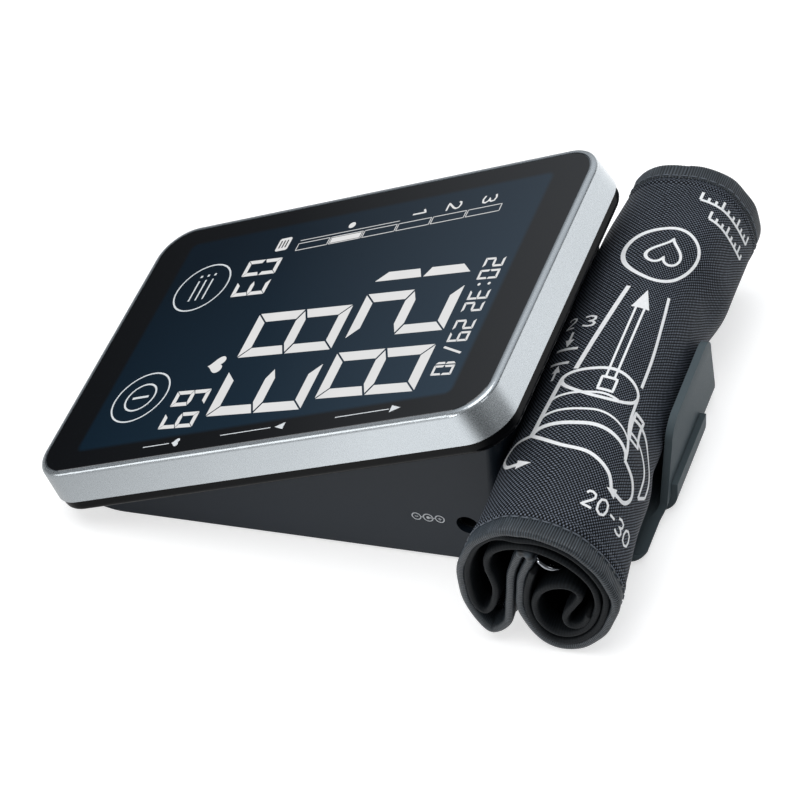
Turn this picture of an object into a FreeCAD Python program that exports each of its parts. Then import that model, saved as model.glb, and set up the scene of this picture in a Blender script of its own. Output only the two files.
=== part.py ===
import FreeCAD, Part
import math
import os

# Upper-arm blood pressure monitor with a rolled arm cuff in its rear holder.
# Millimetres. +X is the user's right, +Y the back, +Z up, and the table is at Z = 0.

# ---- driving dimensions ----
tilt = 19.0                 # slope of the display to the table, degrees
glass_height = 43.6         # middle of the glass above the table
glass_width = 100.0
glass_length = 153.0
glass_thick = 1.8
glass_corner = 10.0

bezel_depth = 10.3          # from the glass face to the bezel's lower edge
bezel_top_rim = 1.5         # rim beside the glass, seen from above
bezel_flare = 0.7           # how much wider the bezel is at its lower edge
bezel_wall = 1.7
bezel_shoulder = 1.2        # rounding between rim and side
rim_share = 0.8             # most of the rim that the rounding may take
glass_chamfer = 0.3
ledge_width = 4.0
ledge_thick = 1.2

tape_thick = 0.4
touch_film_thick = 0.2
view_width = 84.0           # lit area of the display
view_length = 129.0
view_shift = 0.8            # the lit area lies this far behind the middle
panel_margin = 1.3
panel_thick = 2.1
backlight_thick = 2.1
frame_floor = 1.3
flex_width = 33.6
board_length = 116.0
board_thick = 1.6
board_gap = 0.3
board_side_gap = 1.2
board_rim = 4.0
chip_side = 14.0
chip_thick = 1.5
chip_places = ((-0.12, -0.24, 1.0, 1.0), (0.21, -0.05, 0.7, 0.7), (0.27, 0.29, 0.6, 0.4),
               (-0.30, 0.38, 0.6, 0.4))    # shares of the board, then of chip_side
can_radius = 2.5
can_places = ((0.30, 0.10), (0.30, 0.19))  # shares of the board
buzzer_radius = 5.5
buzzer_place = (0.21, -0.33)

cover_thick = 2.2           # glossy plate under the bezel
cover_inset = 0.5           # how far it stands inside the bezel's lower edge
cover_skirt = 2.1           # rim that hangs below the plate and shows as a lip
cover_skirt_wall = 2.6
cover_round = 1.9           # lower outer edge of the rim
cover_round_share = 0.8     # most of the rim's wall that it may take
cover_window_gap = 0.4      # window to the board screws' heads

base_width = 89.0
base_rear = 64.2            # rear wall at the underside, behind the glass middle
base_lean = 8.7             # the rear wall leans out by this angle, degrees
base_wall = 2.2
base_rear_corner = 3.5
base_front_corner = 8.0
base_front_reach = 66.5
heel_start = -51.0          # where the underside starts to curve up to the front
heel_radius = 20.0
heel_angle = 35.0
heel_steps = 8

foot_height = 1.3
foot_radius = 4.5
foot_recess = 0.6
foot_front_x = 29.0
foot_rear_x = 35.0
foot_front = -45.8
foot_rear = 58.8

cell_radius = 7.15          # AA cells
cell_length = 49.0
cell_cap_radius = 2.7
cell_cap_length = 1.4
cell_count = 4
cell_pitch = 15.0
bay_front = -26.0
bay_wall = 1.4
contact_room = 4.0
cell_play = 0.5
bay_side_play = 0.5
bay_head_play = 0.4
contact_plate_thick = 0.4
contact_plate_side = 9.0
spring_wire = 1.0
spring_radius = 4.2
spring_turns = 3

screw_radius = 1.5
screw_head_radius = 2.6
screw_head_thick = 2.0
screw_bite = 3.4
shank_gap = 0.2
head_gap = 0.3
flat_head_thick = 0.65
well_gap = 0.5               # well to the side wall
well_front = -51.0          # along the display's slope
well_rear = 31.6
well_wall = 1.4
board_screw_front = -46.0
board_screw_rear = 50.0
board_screw_radius = 1.0
board_screw_head = 1.9

pump_y = 49.0
pump_z = 20.2
pump_start = -28.0
head_radius = 13.5
head_length = 24.0
head_wall = 1.5
nozzle_root = 2.4           # how far a nozzle is let into the housing
motor_radius = 12.0
motor_length = 30.0
motor_wall = 1.2
shaft_radius = 1.0
shaft_end = 1.0             # shaft beyond the motor's rear end
bearing_gap = 0.03          # radial running clearance of the shaft
cam_radius = 4.0
cam_offset = 1.5
cam_width = 4.0
cam_reach = 12.0            # cam's far face, from the motor
rotor_core_radius = 8.64
rotor_core_gap = 3.6        # core to the can's end
diaphragm_place = 7.2       # from the housing's closed end
stem_radius = 2.4
cradle_width = 7.0
cradle_wall = 2.0
saddle_share = 0.3          # share of the radius that a saddle's rim stays under the axis
saddle_inset = 3.5          # front saddle from the housing's closed end
saddle_setback = 14.0       # rear saddle's front face from the motor's end

air_y = 22.5
air_z = 25.6
nozzle_radius = 1.5
nozzle_length = 3.6
nozzle_bore = 0.8
nozzle_meet_gap = 0.3       # between two nozzles inside one hose
hose_wall = 1.0
hose_gap = 0.05
socket_run = 8.9            # clear run from hose socket to manifold
manifold_side = 8.0
manifold_deep = 9.0
valve_run = 8.0             # clear run from manifold to valve
valve_length = 22.0
valve_width = 11.0
valve_height = 11.0
plunger_radius = 3.0
plunger_length = 6.0
plunger_travel = 1.0
spring_room = 2.0           # behind the core
plunger_gap = 0.1
sensor_side = 8.0
sensor_thick = 4.0

jack_y = 56.4
jack_z = 15.2
jack_hole_radius = 3.25
jack_bore_radius = 2.8
jack_pin_radius = 1.0
jack_side = 9.0
jack_depth = 12.0
jack_back = 2.2
jack_pin_root = 1.1
jack_bore_length = 4.0
jack_chamber_radius = 3.3
jack_pin_length = 4.0
socket_hole_radius = 4.6
socket_bore_radius = 3.4
socket_depth = 10.0
socket_floor = 1.6
socket_flange = 1.1

door_gap = 0.3
door_bevel = 0.6
thumb_radius = 7.15
thumb_length = 7.15
thumb_depth = 1.287
thumb_margin = 2.86         # recess to the door's rear edge

holder_thick = 2.1
holder_channel = 36.9       # room for the cuff between base and holder
holder_bend = 7.0           # outer radius of the bend
bend_steps = 10
holder_height = 32.4
holder_middle = -1.5        # middle of the upright, towards the user's right
holder_top_half = 18.3
holder_shoulder = 6.6       # rounding of the upright's top corners
holder_foot_half = 22.6
holder_flare_round = 4.0    # from the upright's side into the tray
holder_near_reach = 38.0    # tray, towards the user's right
holder_far_reach = 29.5
holder_plate_corner = 6.5
holder_plate_top = 3.8
holder_tongue = 12.0
holder_tongue_half = 26.5
tongue_gap = 0.6            # tray to the base's rear wall
heel_pad_half = 13.5
heel_pad_thick = 1.8
heel_pad_rise = 3.0
holder_screw_x = 18.0
pad_depth = 4.4             # thick floor in front of the tongue

cuff_length = 141.0
roll_y = 86.2
roll_z = 23.2
roll_radius = 22.2
roll_points = 40
lobe_angle = 218.0          # hanging lobe, seen from the user's right, from +Y
lobe_spread = 60.0
lobe_bulge = 0.10
cleft_angle = 243.0
cleft_spread = 26.0
cleft_depth = 0.52
cuff_cloth = 2.2            # one folded layer of the cuff
cuff_seat_gap = 0.5         # cuff to base, holder and coil
binding_width = 5.8
bulge_start = 47.0          # the free end swells beyond this distance from the middle
coil_y = 90.4
coil_z = 18.2
coil_half_y = 9.2
coil_half_z = 9.0
bladder_thick = 0.9
core_thick = 2.0
tail_y = 75.2
tail_z = 27.0
tail_half_y = 2.3
tail_half_z = 8.5
bar_wire = 0.8              # radius of the metal loop's wire
bar_length = 138.0
bar_width = 11.0
bar_y = 89.4
bar_z = 31.6
bar_slope = -38.0

small_gap = 0.1
seat_gap = 0.15
overshoot = 1.0             # how far a cutting shape passes what it cuts
same_level = 1e-3

# ---- derived places ----
slope = math.radians(tilt)
lean = math.tan(math.radians(base_lean))
floor_low = foot_height
floor_high = foot_height + base_wall
pad_high = floor_high + base_wall
half_glass_x = glass_width / 2
half_glass_y = glass_length / 2
bezel_top_x = half_glass_x + seat_gap + bezel_top_rim
bezel_top_y = half_glass_y + seat_gap + bezel_top_rim
bezel_low_x = bezel_top_x + bezel_flare
bezel_low_y = bezel_top_y + bezel_flare
bezel_corner = glass_corner + seat_gap + bezel_top_rim
tape_low = -glass_thick - tape_thick
ledge_low = tape_low - ledge_thick
panel_half_x = view_width / 2 + panel_margin
panel_half_y = view_length / 2 + panel_margin
panel_high = -glass_thick - touch_film_thick - small_gap
panel_low = panel_high - panel_thick
backlight_low = panel_low - backlight_thick
frame_high = ledge_low - small_gap
frame_low = backlight_low - small_gap - frame_floor
board_high = frame_low - board_gap
board_low = board_high - board_thick
cover_high = -bezel_depth - small_gap
cover_low = cover_high - cover_thick
bay_half = cell_pitch * cell_count / 2 + bay_side_play
bay_length = cell_length + cell_cap_length + contact_room
bay_rear = bay_front + bay_length
cell_z = floor_high + door_gap + cell_radius
bay_high = cell_z + cell_radius + bay_head_play
cell_xs = [cell_pitch * (i - (cell_count - 1) / 2) for i in range(cell_count)]
well_bore = screw_head_radius + head_gap
well_outer = well_bore + well_wall
well_top = cover_low - base_wall
well_x = base_width / 2 - base_wall - well_gap - well_outer
boss_radius = screw_head_radius + well_wall / 2
board_width = 2 * (well_x - boss_radius - board_side_gap)
board_screw_x = board_width / 2 - board_rim
cover_window_half_x = board_screw_x + board_screw_head + cover_window_gap
cover_window_front = board_screw_front - board_screw_head - cover_window_gap
cover_window_rear = board_screw_rear + board_screw_head + cover_window_gap
manifold_x = -base_width / 2 + socket_depth + socket_floor + socket_run + manifold_side / 2
valve_start = manifold_x + manifold_side / 2 + valve_run
holder_inner_foot = base_rear + holder_channel
tray_middle = (holder_near_reach - holder_far_reach) / 2
rim_fillet = min(bezel_shoulder, bezel_top_rim * rim_share)
rim_setback = rim_fillet / math.tan(math.pi / 4 + math.atan(bezel_flare / bezel_depth) / 2)
front_reach = (bezel_top_y - rim_setback) * math.cos(slope) + rim_fillet * (1 - math.sin(slope))
cuff_rear_reach = roll_y + roll_radius
beyond = glass_height * 2   # farther than the base is high
flex_thick = board_gap - small_gap / 2
flex_y = view_shift - panel_half_y + panel_margin
motor_start = pump_start + head_length
plunger_start = valve_start + valve_length / 2
socket_back = -base_width / 2 + socket_depth + socket_floor
half_cuff = cuff_length / 2
frame_shift = (front_reach - cuff_rear_reach) / 2

X_AXIS = FreeCAD.Vector(1, 0, 0)
Y_AXIS = FreeCAD.Vector(0, 1, 0)
Z_AXIS = FreeCAD.Vector(0, 0, 1)


# ---- shape helpers ----
def vec(x, y, z):
    return FreeCAD.Vector(x, y, z)


def block(x0, x1, y0, y1, z0, z1):
    """A box between two corners."""
    return Part.makeBox(x1 - x0, y1 - y0, z1 - z0, vec(x0, y0, z0))


def rod(radius, start, axis, length):
    """A cylinder from a start point along an axis."""
    return Part.makeCylinder(radius, length, start, axis)


def pipe(outer, inner, start, axis, length):
    """A cylinder with a bore right through."""
    return rod(outer, start, axis, length).cut(rod(inner, start, axis, length))


def arc(centre, radius, first, last, place):
    """A circular edge between two angles, through its own middle."""
    angles = (first, (first + last) / 2, last)
    points = [place(centre[0] + radius * math.cos(math.radians(a)),
                    centre[1] + radius * math.sin(math.radians(a))) for a in angles]
    return Part.Arc(*points).toShape()


def round_wire(half_x, low_y, high_y, front_radius, rear_radius, z):
    """A rounded rectangle in a level plane."""
    def place(x, y):
        return vec(x, y, z)
    corners = ((half_x, high_y, rear_radius, 0), (-half_x, high_y, rear_radius, 90),
               (-half_x, low_y, front_radius, 180), (half_x, low_y, front_radius, 270))
    edges = []
    last = None
    for x, y, radius, start in corners:
        centre = (x - math.copysign(radius, x), y + (radius if start >= 180 else -radius))
        corner = arc(centre, radius, start, start + 90, place)
        if last is not None:
            edges.append(Part.makeLine(last, corner.Vertexes[0].Point))
        edges.append(corner)
        last = corner.Vertexes[-1].Point
    edges.append(Part.makeLine(last, edges[0].Vertexes[0].Point))
    return Part.Wire(edges)


def round_plate(half_x, half_y, radius, z0, z1, centre_y=0.0):
    """A rounded rectangular plate between two levels."""
    wire = round_wire(half_x, centre_y - half_y, centre_y + half_y, radius, radius, z0)
    return Part.Face(wire).extrude(vec(0, 0, z1 - z0))


def sloped(shape):
    """Moves a shape from the display's own level frame to its slope over the table."""
    turned = shape.copy()
    turned.Placement = FreeCAD.Placement(
        vec(0, 0, glass_height), FreeCAD.Rotation(X_AXIS, tilt)).multiply(shape.Placement)
    return turned


def side_prism(points, half_x):
    """A closed outline in the YZ plane, given the width across X."""
    wire = Part.makePolygon([vec(-half_x, y, z) for y, z in points + points[:1]])
    return Part.Face(wire).extrude(vec(2 * half_x, 0, 0))


def group(shapes):
    """Several separate solids kept as one node."""
    return Part.makeCompound(shapes)


def level_edges(shape, z):
    """The edges that lie flat at a height."""
    return [e for e in shape.Edges
            if abs(e.BoundBox.ZMin - z) < same_level and abs(e.BoundBox.ZMax - z) < same_level]


def wall_y(z, inset=0.0):
    """Where the rear wall of the base stands at a height."""
    return base_rear + lean * (z - floor_low) - inset


# ---- display half: bezel, glass, display stack and board ----
def bezel_frame():
    """Rounded metal frame with a ledge for the glass and an open underside."""
    low = round_wire(bezel_low_x, -bezel_low_y, bezel_low_y,
                     bezel_corner, bezel_corner, -bezel_depth)
    top = round_wire(bezel_top_x, -bezel_top_y, bezel_top_y,
                     bezel_corner, bezel_corner, 0)
    body = Part.makeLoft([low, top], True, True)
    body = body.makeFillet(rim_fillet, level_edges(body, 0))
    pocket = round_plate(half_glass_x + seat_gap, half_glass_y + seat_gap,
                         glass_corner + seat_gap, tape_low, bezel_depth)
    opening = round_plate(half_glass_x - ledge_width, half_glass_y - ledge_width,
                          glass_corner - ledge_width, -bezel_depth, 0)
    cavity = round_plate(bezel_low_x - bezel_wall, bezel_low_y - bezel_wall,
                         bezel_corner - bezel_wall, -bezel_depth * 2, ledge_low)
    return sloped(body.cut(pocket).cut(opening).cut(cavity))


def touch_glass():
    """Cover glass with the two touch areas printed on its back."""
    plate = round_plate(half_glass_x, half_glass_y, glass_corner, -glass_thick, 0)
    return sloped(plate.makeChamfer(glass_chamfer, level_edges(plate, 0)))


def glass_tape():
    """Adhesive ring between the glass and the bezel's ledge."""
    reach = ledge_width - seat_gap * 2
    outer = round_plate(half_glass_x - seat_gap, half_glass_y - seat_gap,
                        glass_corner - seat_gap, tape_low, -glass_thick)
    inner = round_plate(half_glass_x - reach, half_glass_y - reach,
                        glass_corner - reach, tape_low, -glass_thick)
    return sloped(outer.cut(inner))


def touch_film():
    """Clear touch sensor bonded under the glass, inside the tape ring."""
    inset = ledge_width + seat_gap
    return sloped(round_plate(half_glass_x - inset, half_glass_y - inset, glass_corner - inset,
                              -glass_thick - touch_film_thick, -glass_thick))


def panel_plate(high, low):
    """A layer of the display stack."""
    return sloped(block(-panel_half_x, panel_half_x, view_shift - panel_half_y,
                        view_shift + panel_half_y, low, high))


def display_frame():
    """Plastic frame that carries the display stack and takes the long screws."""
    outer = round_plate(half_glass_x, half_glass_y, glass_corner, frame_low, frame_high)
    pocket = block(-panel_half_x - small_gap, panel_half_x + small_gap,
                   view_shift - panel_half_y - small_gap, view_shift + panel_half_y + small_gap,
                   frame_low + frame_floor, 0)
    frame = outer.cut(pocket)
    for x, y in well_places():
        frame = frame.fuse(rod(boss_radius, vec(x, y, cover_high), Z_AXIS,
                               frame_low - cover_high))
    for x, y in board_screw_places():
        frame = frame.fuse(rod(board_screw_head, vec(x, y, board_high), Z_AXIS, board_gap))
    for x, y in well_places():
        frame = frame.cut(rod(screw_radius, vec(x, y, cover_high), Z_AXIS, screw_bite))
    for x, y in board_screw_places():
        frame = frame.cut(rod(board_screw_radius, vec(x, y, board_high), Z_AXIS,
                              board_gap + frame_floor))
    half = flex_width / 2 + small_gap
    flex_slot = block(-half, half, flex_y - small_gap, flex_y + flex_thick + small_gap,
                      frame_low - overshoot, 0)
    return sloped(frame.cut(flex_slot).removeSplitter())


def display_flex():
    """Flat ribbon from the display's front edge down to the board."""
    half = flex_width / 2
    low = frame_low - board_gap
    down = block(-half, half, flex_y, flex_y + flex_thick, low, backlight_low)
    run = block(-half, half, flex_y, -board_length / 2 + ledge_width, low, low + flex_thick)
    return sloped(down.fuse(run).removeSplitter())


def well_places():
    return [(side * well_x, y) for side in (-1, 1) for y in (well_front, well_rear)]


def board_screw_places():
    return [(side * board_screw_x, y) for side in (-1, 1)
            for y in (board_screw_front, board_screw_rear)]


def main_board():
    """Circuit board screwed under the display frame."""
    board = block(-board_width / 2, board_width / 2, -board_length / 2, board_length / 2,
                  board_low, board_high)
    for x, y in board_screw_places():
        hole = rod(board_screw_radius + small_gap, vec(x, y, board_low), Z_AXIS, board_thick)
        board = board.cut(hole)
    return sloped(board)


def board_screws():
    """Four small screws that hold the board."""
    screws = []
    for x, y in board_screw_places():
        shank = rod(board_screw_radius - small_gap / 2, vec(x, y, board_low), Z_AXIS,
                    board_thick + board_gap + frame_floor / 2)
        head = rod(board_screw_head, vec(x, y, board_low - board_screw_radius), Z_AXIS,
                   board_screw_radius)
        screws.append(sloped(shank.fuse(head).removeSplitter()))
    return group(screws)


def board_parts():
    """Chips, capacitors and the battery plug under the board."""
    parts = []
    for across, along, wide, deep in chip_places:
        x, y = across * board_width, along * board_length
        half_x, half_y = wide * chip_side / 2, deep * chip_side / 2
        parts.append(sloped(block(x - half_x, x + half_x, y - half_y, y + half_y,
                                  board_low - chip_thick, board_low)))
    for across, along in can_places:
        place = vec(across * board_width, along * board_length, board_low - 2 * can_radius)
        parts.append(sloped(rod(can_radius, place, Z_AXIS, 2 * can_radius)))
    return group(parts)


def buzzer():
    """Round sounder on the board."""
    across, along = buzzer_place
    place = vec(across * board_width, along * board_length, board_low - buzzer_radius / 2)
    return sloped(rod(buzzer_radius, place, Z_AXIS, buzzer_radius / 2))


# ---- glossy cover plate and base ----
def rear_cover():
    """Glossy plate that closes the bezel from below; its rim shows as a lip."""
    half_x = bezel_low_x - cover_inset
    half_y = bezel_low_y - cover_inset
    corner = bezel_corner - cover_inset
    rim_low = cover_low - cover_skirt
    plate = round_plate(half_x, half_y, corner, rim_low, cover_high)
    plate = plate.makeFillet(min(cover_round, cover_skirt_wall * cover_round_share),
                             level_edges(plate, rim_low))
    wall = cover_skirt_wall
    plate = plate.cut(round_plate(half_x - wall, half_y - wall, corner - wall,
                                  rim_low - overshoot, cover_low))
    window = block(-cover_window_half_x, cover_window_half_x,
                   cover_window_front, cover_window_rear,
                   cover_low - overshoot, cover_high + overshoot)
    plate = plate.cut(window)
    for x, y in well_places():
        plate = plate.cut(rod(screw_radius + shank_gap, vec(x, y, cover_low - overshoot), Z_AXIS,
                              cover_thick + 2 * overshoot))
    return sloped(plate)


def side_outline(inset, top):
    """Side view of the wedge: flat underside, curved front heel and the sloping top."""
    angle = math.radians(heel_angle)
    radius = heel_radius - inset
    centre_z = floor_low + heel_radius
    points = []
    for i in range(heel_steps + 1):
        a = angle * i / heel_steps
        points.append((heel_start - radius * math.sin(a), centre_z - radius * math.cos(a)))
    y, z = points[-1]
    sine, cosine = math.sin(slope), math.cos(slope)
    run = (top + y * sine - (z - glass_height) * cosine) / (
        sine * math.cos(angle) + cosine * math.sin(angle))
    points.append((y - run * math.cos(angle), z + run * math.sin(angle)))
    far = base_rear * 2
    points.append((far, glass_height + (top + far * sine) / cosine))
    points.append((far, floor_low + inset))
    return points


def wedge(inset, top):
    """The base's outer form, or its cavity when inset by the wall."""
    side = side_prism(side_outline(inset, top), base_width)
    plan = round_wire(base_width / 2 - inset, -base_front_reach + inset, wall_y(0, inset),
                      base_front_corner - inset, base_rear_corner - inset, 0)
    column = Part.Face(plan).extrude(vec(0, lean * beyond, beyond))
    return side.common(column)


def battery_bay():
    """The outer form of the walls and roof around the cells."""
    return block(-bay_half - bay_wall, bay_half + bay_wall, bay_front - bay_wall,
                 bay_rear + bay_wall, floor_low, bay_high + bay_wall)


def base_shell():
    """Hollow wedge with the battery bay, screw wells, sockets and the holder's slot."""
    outer = wedge(0, cover_low)
    shell = outer.cut(wedge(base_wall, 0))
    shell = shell.fuse(battery_bay().common(outer))
    for x, y in well_places():
        tube = sloped(rod(well_outer, vec(x, y, cover_low - beyond), Z_AXIS, beyond))
        shell = shell.fuse(tube.common(outer))
    for x, y in well_places():
        bore = sloped(rod(well_bore, vec(x, y, well_top - beyond), Z_AXIS, beyond))
        hole = sloped(rod(screw_radius + shank_gap, vec(x, y, well_top - overshoot), Z_AXIS,
                          base_wall + 2 * overshoot))
        shell = shell.cut(bore).cut(hole)
    bay = block(-bay_half, bay_half, bay_front, bay_rear, floor_low - overshoot, bay_high)
    shell = shell.cut(bay)
    half = base_width / 2
    through = base_wall + 2 * overshoot
    shell = shell.cut(rod(jack_hole_radius, vec(half - base_wall - overshoot, jack_y, jack_z),
                          X_AXIS, through))
    shell = shell.cut(rod(socket_hole_radius, vec(-half - overshoot, air_y, air_z), X_AXIS,
                          through))
    for x, y in foot_places():
        shell = shell.cut(rod(foot_radius, vec(x, y, floor_low), Z_AXIS, foot_recess))
    slot_half = holder_tongue_half + door_gap
    slot = block(-slot_half, slot_half, base_rear - holder_tongue - door_gap, base_rear * 2,
                 floor_low - overshoot, floor_low + holder_thick + small_gap)
    shell = shell.cut(slot)
    shell = shell.fuse(tongue_pad().common(outer).cut(slot))
    for x, y in holder_screw_places():
        shell = shell.cut(rod(screw_radius, vec(x, y, floor_low), Z_AXIS,
                              pad_high - floor_low - small_gap * 2))
    return shell.removeSplitter()


def tongue_pad():
    """Raised floor over the holder's tongue."""
    half = holder_tongue_half + door_gap + base_wall
    return block(-half, half, base_rear - holder_tongue - pad_depth, base_rear, floor_low,
                 pad_high)


def foot_places():
    return [(side * x, y) for side in (-1, 1)
            for x, y in ((foot_front_x, foot_front), (foot_rear_x, foot_rear))]


def rubber_feet():
    """Four pads set in shallow recesses of the underside."""
    return group([rod(foot_radius - small_gap, vec(x, y, 0), Z_AXIS, foot_height + foot_recess)
                  for x, y in foot_places()])


def housing_screws():
    """Four long-reach screws from the underside through base and cover into the frame."""
    screws = []
    for x, y in well_places():
        start = well_top - screw_head_thick
        head = rod(screw_head_radius, vec(x, y, start), Z_AXIS, screw_head_thick)
        drive = Part.makeBox(screw_radius * 2, screw_radius / 2, screw_head_thick / 2,
                             vec(x - screw_radius, y - screw_radius / 4, start))
        cross = Part.makeBox(screw_radius / 2, screw_radius * 2, screw_head_thick / 2,
                             vec(x - screw_radius / 4, y - screw_radius, start))
        shank = rod(screw_radius - small_gap, vec(x, y, well_top), Z_AXIS,
                    cover_high - well_top + screw_bite - small_gap)
        screws.append(sloped(head.fuse(shank).cut(drive).cut(cross)))
    return group(screws)


def battery_door():
    """Cover under the cells with a thumb recess at its rear edge."""
    door = block(-bay_half + door_gap, bay_half - door_gap, bay_front + door_gap,
                 bay_rear - door_gap, floor_low, floor_high - small_gap)
    door = door.makeChamfer(door_bevel, level_edges(door, floor_low))
    start = bay_rear - door_gap - thumb_margin - thumb_length
    thumb = rod(thumb_radius, vec(0, start, floor_low + thumb_depth - thumb_radius), Y_AXIS,
                thumb_length)
    return door.cut(thumb)


# ---- batteries and contacts ----
def aa_cells():
    """Four cells side by side, every second one turned round."""
    cells = []
    for i, x in enumerate(cell_xs):
        nose_first = i % 2 == 0
        low = bay_front + (cell_cap_length + cell_play if nose_first else contact_room - cell_play)
        cap_y = low - cell_cap_length if nose_first else low + cell_length
        body = rod(cell_radius, vec(x, low, cell_z), Y_AXIS, cell_length)
        cap = rod(cell_cap_radius, vec(x, cap_y, cell_z), Y_AXIS, cell_cap_length)
        cells.append(body.fuse(cap).removeSplitter())
    return group(cells)


def contact_plates():
    """Flat contacts at the cells' noses."""
    plates = []
    half = contact_plate_side / 2
    for i, x in enumerate(cell_xs):
        y = bay_front if i % 2 == 0 else bay_rear - contact_plate_thick
        plates.append(block(x - half, x + half, y, y + contact_plate_thick,
                            cell_z - half, cell_z + half))
    return group(plates)


def contact_springs():
    """Coiled contacts at the cells' flat ends, pressed down to touching turns."""
    springs = []
    for i, x in enumerate(cell_xs):
        at_rear = i % 2 == 0
        wall = bay_rear if at_rear else bay_front
        step = -spring_wire if at_rear else spring_wire
        coil = None
        for turn in range(spring_turns):
            place = vec(x, wall + step * (turn + 0.5), cell_z)
            ring = Part.makeTorus(spring_radius, (spring_wire + small_gap) / 2, place, Y_AXIS)
            coil = ring if coil is None else coil.fuse(ring)
        coil.translate(vec(0, small_gap * math.copysign(1, step), 0))
        springs.append(coil)
    return group(springs)


# ---- pump, valve, air line and sockets ----
def pump_head():
    """Round pump housing, open to the motor, with its outlet nozzle."""
    body = rod(head_radius, vec(pump_start, pump_y, pump_z), X_AXIS, head_length)
    room = rod(head_radius - head_wall, vec(pump_start + head_wall, pump_y, pump_z), X_AXIS,
               head_length)
    front = pump_front(air_z - pump_z)
    nozzle = rod(nozzle_radius, vec(manifold_x, front - nozzle_length, air_z), Y_AXIS,
                 nozzle_length + nozzle_root)
    bore = rod(nozzle_bore, vec(manifold_x, front - nozzle_length, air_z), Y_AXIS,
               nozzle_length + 2 * nozzle_root)
    return body.fuse(nozzle).cut(room).cut(bore)


def pump_front(rise):
    """Front of the pump housing at a height over its axis."""
    return pump_y - math.sqrt(head_radius ** 2 - rise ** 2)


def pump_motor():
    """Motor can with a bearing hole in each end."""
    can = rod(motor_radius, vec(motor_start, pump_y, pump_z), X_AXIS, motor_length)
    room = rod(motor_radius - motor_wall, vec(motor_start + motor_wall, pump_y, pump_z),
               X_AXIS, motor_length - 2 * motor_wall)
    collar_start = motor_start - head_wall
    bearing = rod(shaft_radius + bearing_gap, vec(collar_start - overshoot, pump_y, pump_z),
                  X_AXIS, head_wall + motor_length + 2 * overshoot)
    collar = rod(head_radius - head_wall - small_gap, vec(collar_start, pump_y, pump_z),
                 X_AXIS, head_wall)
    return can.fuse(collar).cut(room).cut(bearing)


def motor_rotor():
    """Shaft with its wound core and the cam that works the diaphragm."""
    start = motor_start - cam_reach
    shaft = rod(shaft_radius, vec(start, pump_y, pump_z), X_AXIS,
                cam_reach + motor_length + shaft_end)
    core = rod(rotor_core_radius, vec(motor_start + rotor_core_gap, pump_y, pump_z), X_AXIS,
               motor_length - 2 * rotor_core_gap)
    cam = rod(cam_radius, vec(start, pump_y, pump_z + cam_offset), X_AXIS, cam_width)
    return shaft.fuse(core).fuse(cam).removeSplitter()


def pump_diaphragm():
    """Rubber disc that the cam flexes, seated in the pump housing."""
    place = pump_start + diaphragm_place
    disc = rod(head_radius - head_wall - small_gap, vec(place, pump_y, pump_z), X_AXIS, head_wall)
    stem = rod(stem_radius, vec(place + head_wall, pump_y, pump_z), X_AXIS, head_wall)
    return disc.fuse(stem).removeSplitter()


def pump_cradle():
    """Two rubber saddles between the pump and the floor of the base."""
    saddles = []
    for start, radius in ((pump_start + saddle_inset, head_radius),
                          (motor_start + motor_length - saddle_setback, motor_radius)):
        width = radius - cradle_wall
        saddle = block(start, start + cradle_width, pump_y - width, pump_y + width, floor_high,
                       pump_z - radius * saddle_share)
        room = rod(radius + small_gap, vec(start - overshoot, pump_y, pump_z), X_AXIS,
                   cradle_width + 2 * overshoot)
        saddles.append(saddle.cut(room).cut(tongue_pad()))
    return group(saddles)


def air_manifold():
    """Block that joins pump, valve, pressure sensor and hose socket."""
    half = manifold_side / 2
    body = block(manifold_x - half, manifold_x + half, air_y - half, air_y + half,
                 bay_high + bay_wall, bay_high + bay_wall + manifold_deep)
    reach = half + nozzle_length
    side = rod(nozzle_radius, vec(manifold_x - reach, air_y, air_z), X_AXIS, 2 * reach)
    rear = rod(nozzle_radius, vec(manifold_x, air_y, air_z), Y_AXIS, reach)
    body = body.fuse(side).fuse(rear).fuse(sensor_rod(nozzle_radius, manifold_top() + nozzle_length))
    bores = rod(nozzle_bore, vec(manifold_x - reach, air_y, air_z), X_AXIS, 2 * reach)
    bores = bores.fuse(rod(nozzle_bore, vec(manifold_x, air_y, air_z), Y_AXIS, reach))
    bores = bores.fuse(sensor_rod(nozzle_bore, manifold_top() + nozzle_length))
    return body.cut(bores).removeSplitter()


def sensor_u():
    """The sensor's place along the slope, straight above the manifold."""
    return air_y * math.cos(slope) + (air_z - glass_height) * math.sin(slope)


def sensor_rod(radius, high):
    """A rod square to the board, from inside the manifold up to a depth under the glass."""
    low = (air_z - glass_height) * math.cos(slope) - air_y * math.sin(slope)
    return sloped(rod(radius, vec(manifold_x, sensor_u(), low), Z_AXIS, high - low))


def manifold_top():
    """Depth under the glass of the manifold's top face, at its middle."""
    top = bay_high + bay_wall + manifold_deep
    return (top - glass_height) * math.cos(slope) - air_y * math.sin(slope)


def pressure_sensor():
    """Sensor on the board with its nozzle towards the manifold."""
    half = sensor_side / 2
    body = block(manifold_x - half, manifold_x + half, sensor_u() - half, sensor_u() + half,
                 board_low - sensor_thick, board_low)
    tip = manifold_top() + nozzle_length + nozzle_meet_gap
    nozzle = rod(nozzle_radius, vec(manifold_x, sensor_u(), tip), Z_AXIS,
                 board_low - sensor_thick - tip)
    bore = rod(nozzle_bore, vec(manifold_x, sensor_u(), tip), Z_AXIS,
               board_low - sensor_thick / 2 - tip)
    return sloped(body.fuse(nozzle).cut(bore).removeSplitter())


def hose(start, axis, length):
    """A short silicone coupling pushed over two nozzles."""
    inner = nozzle_radius + hose_gap
    return pipe(inner + hose_wall, inner, start, axis, length)


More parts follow.
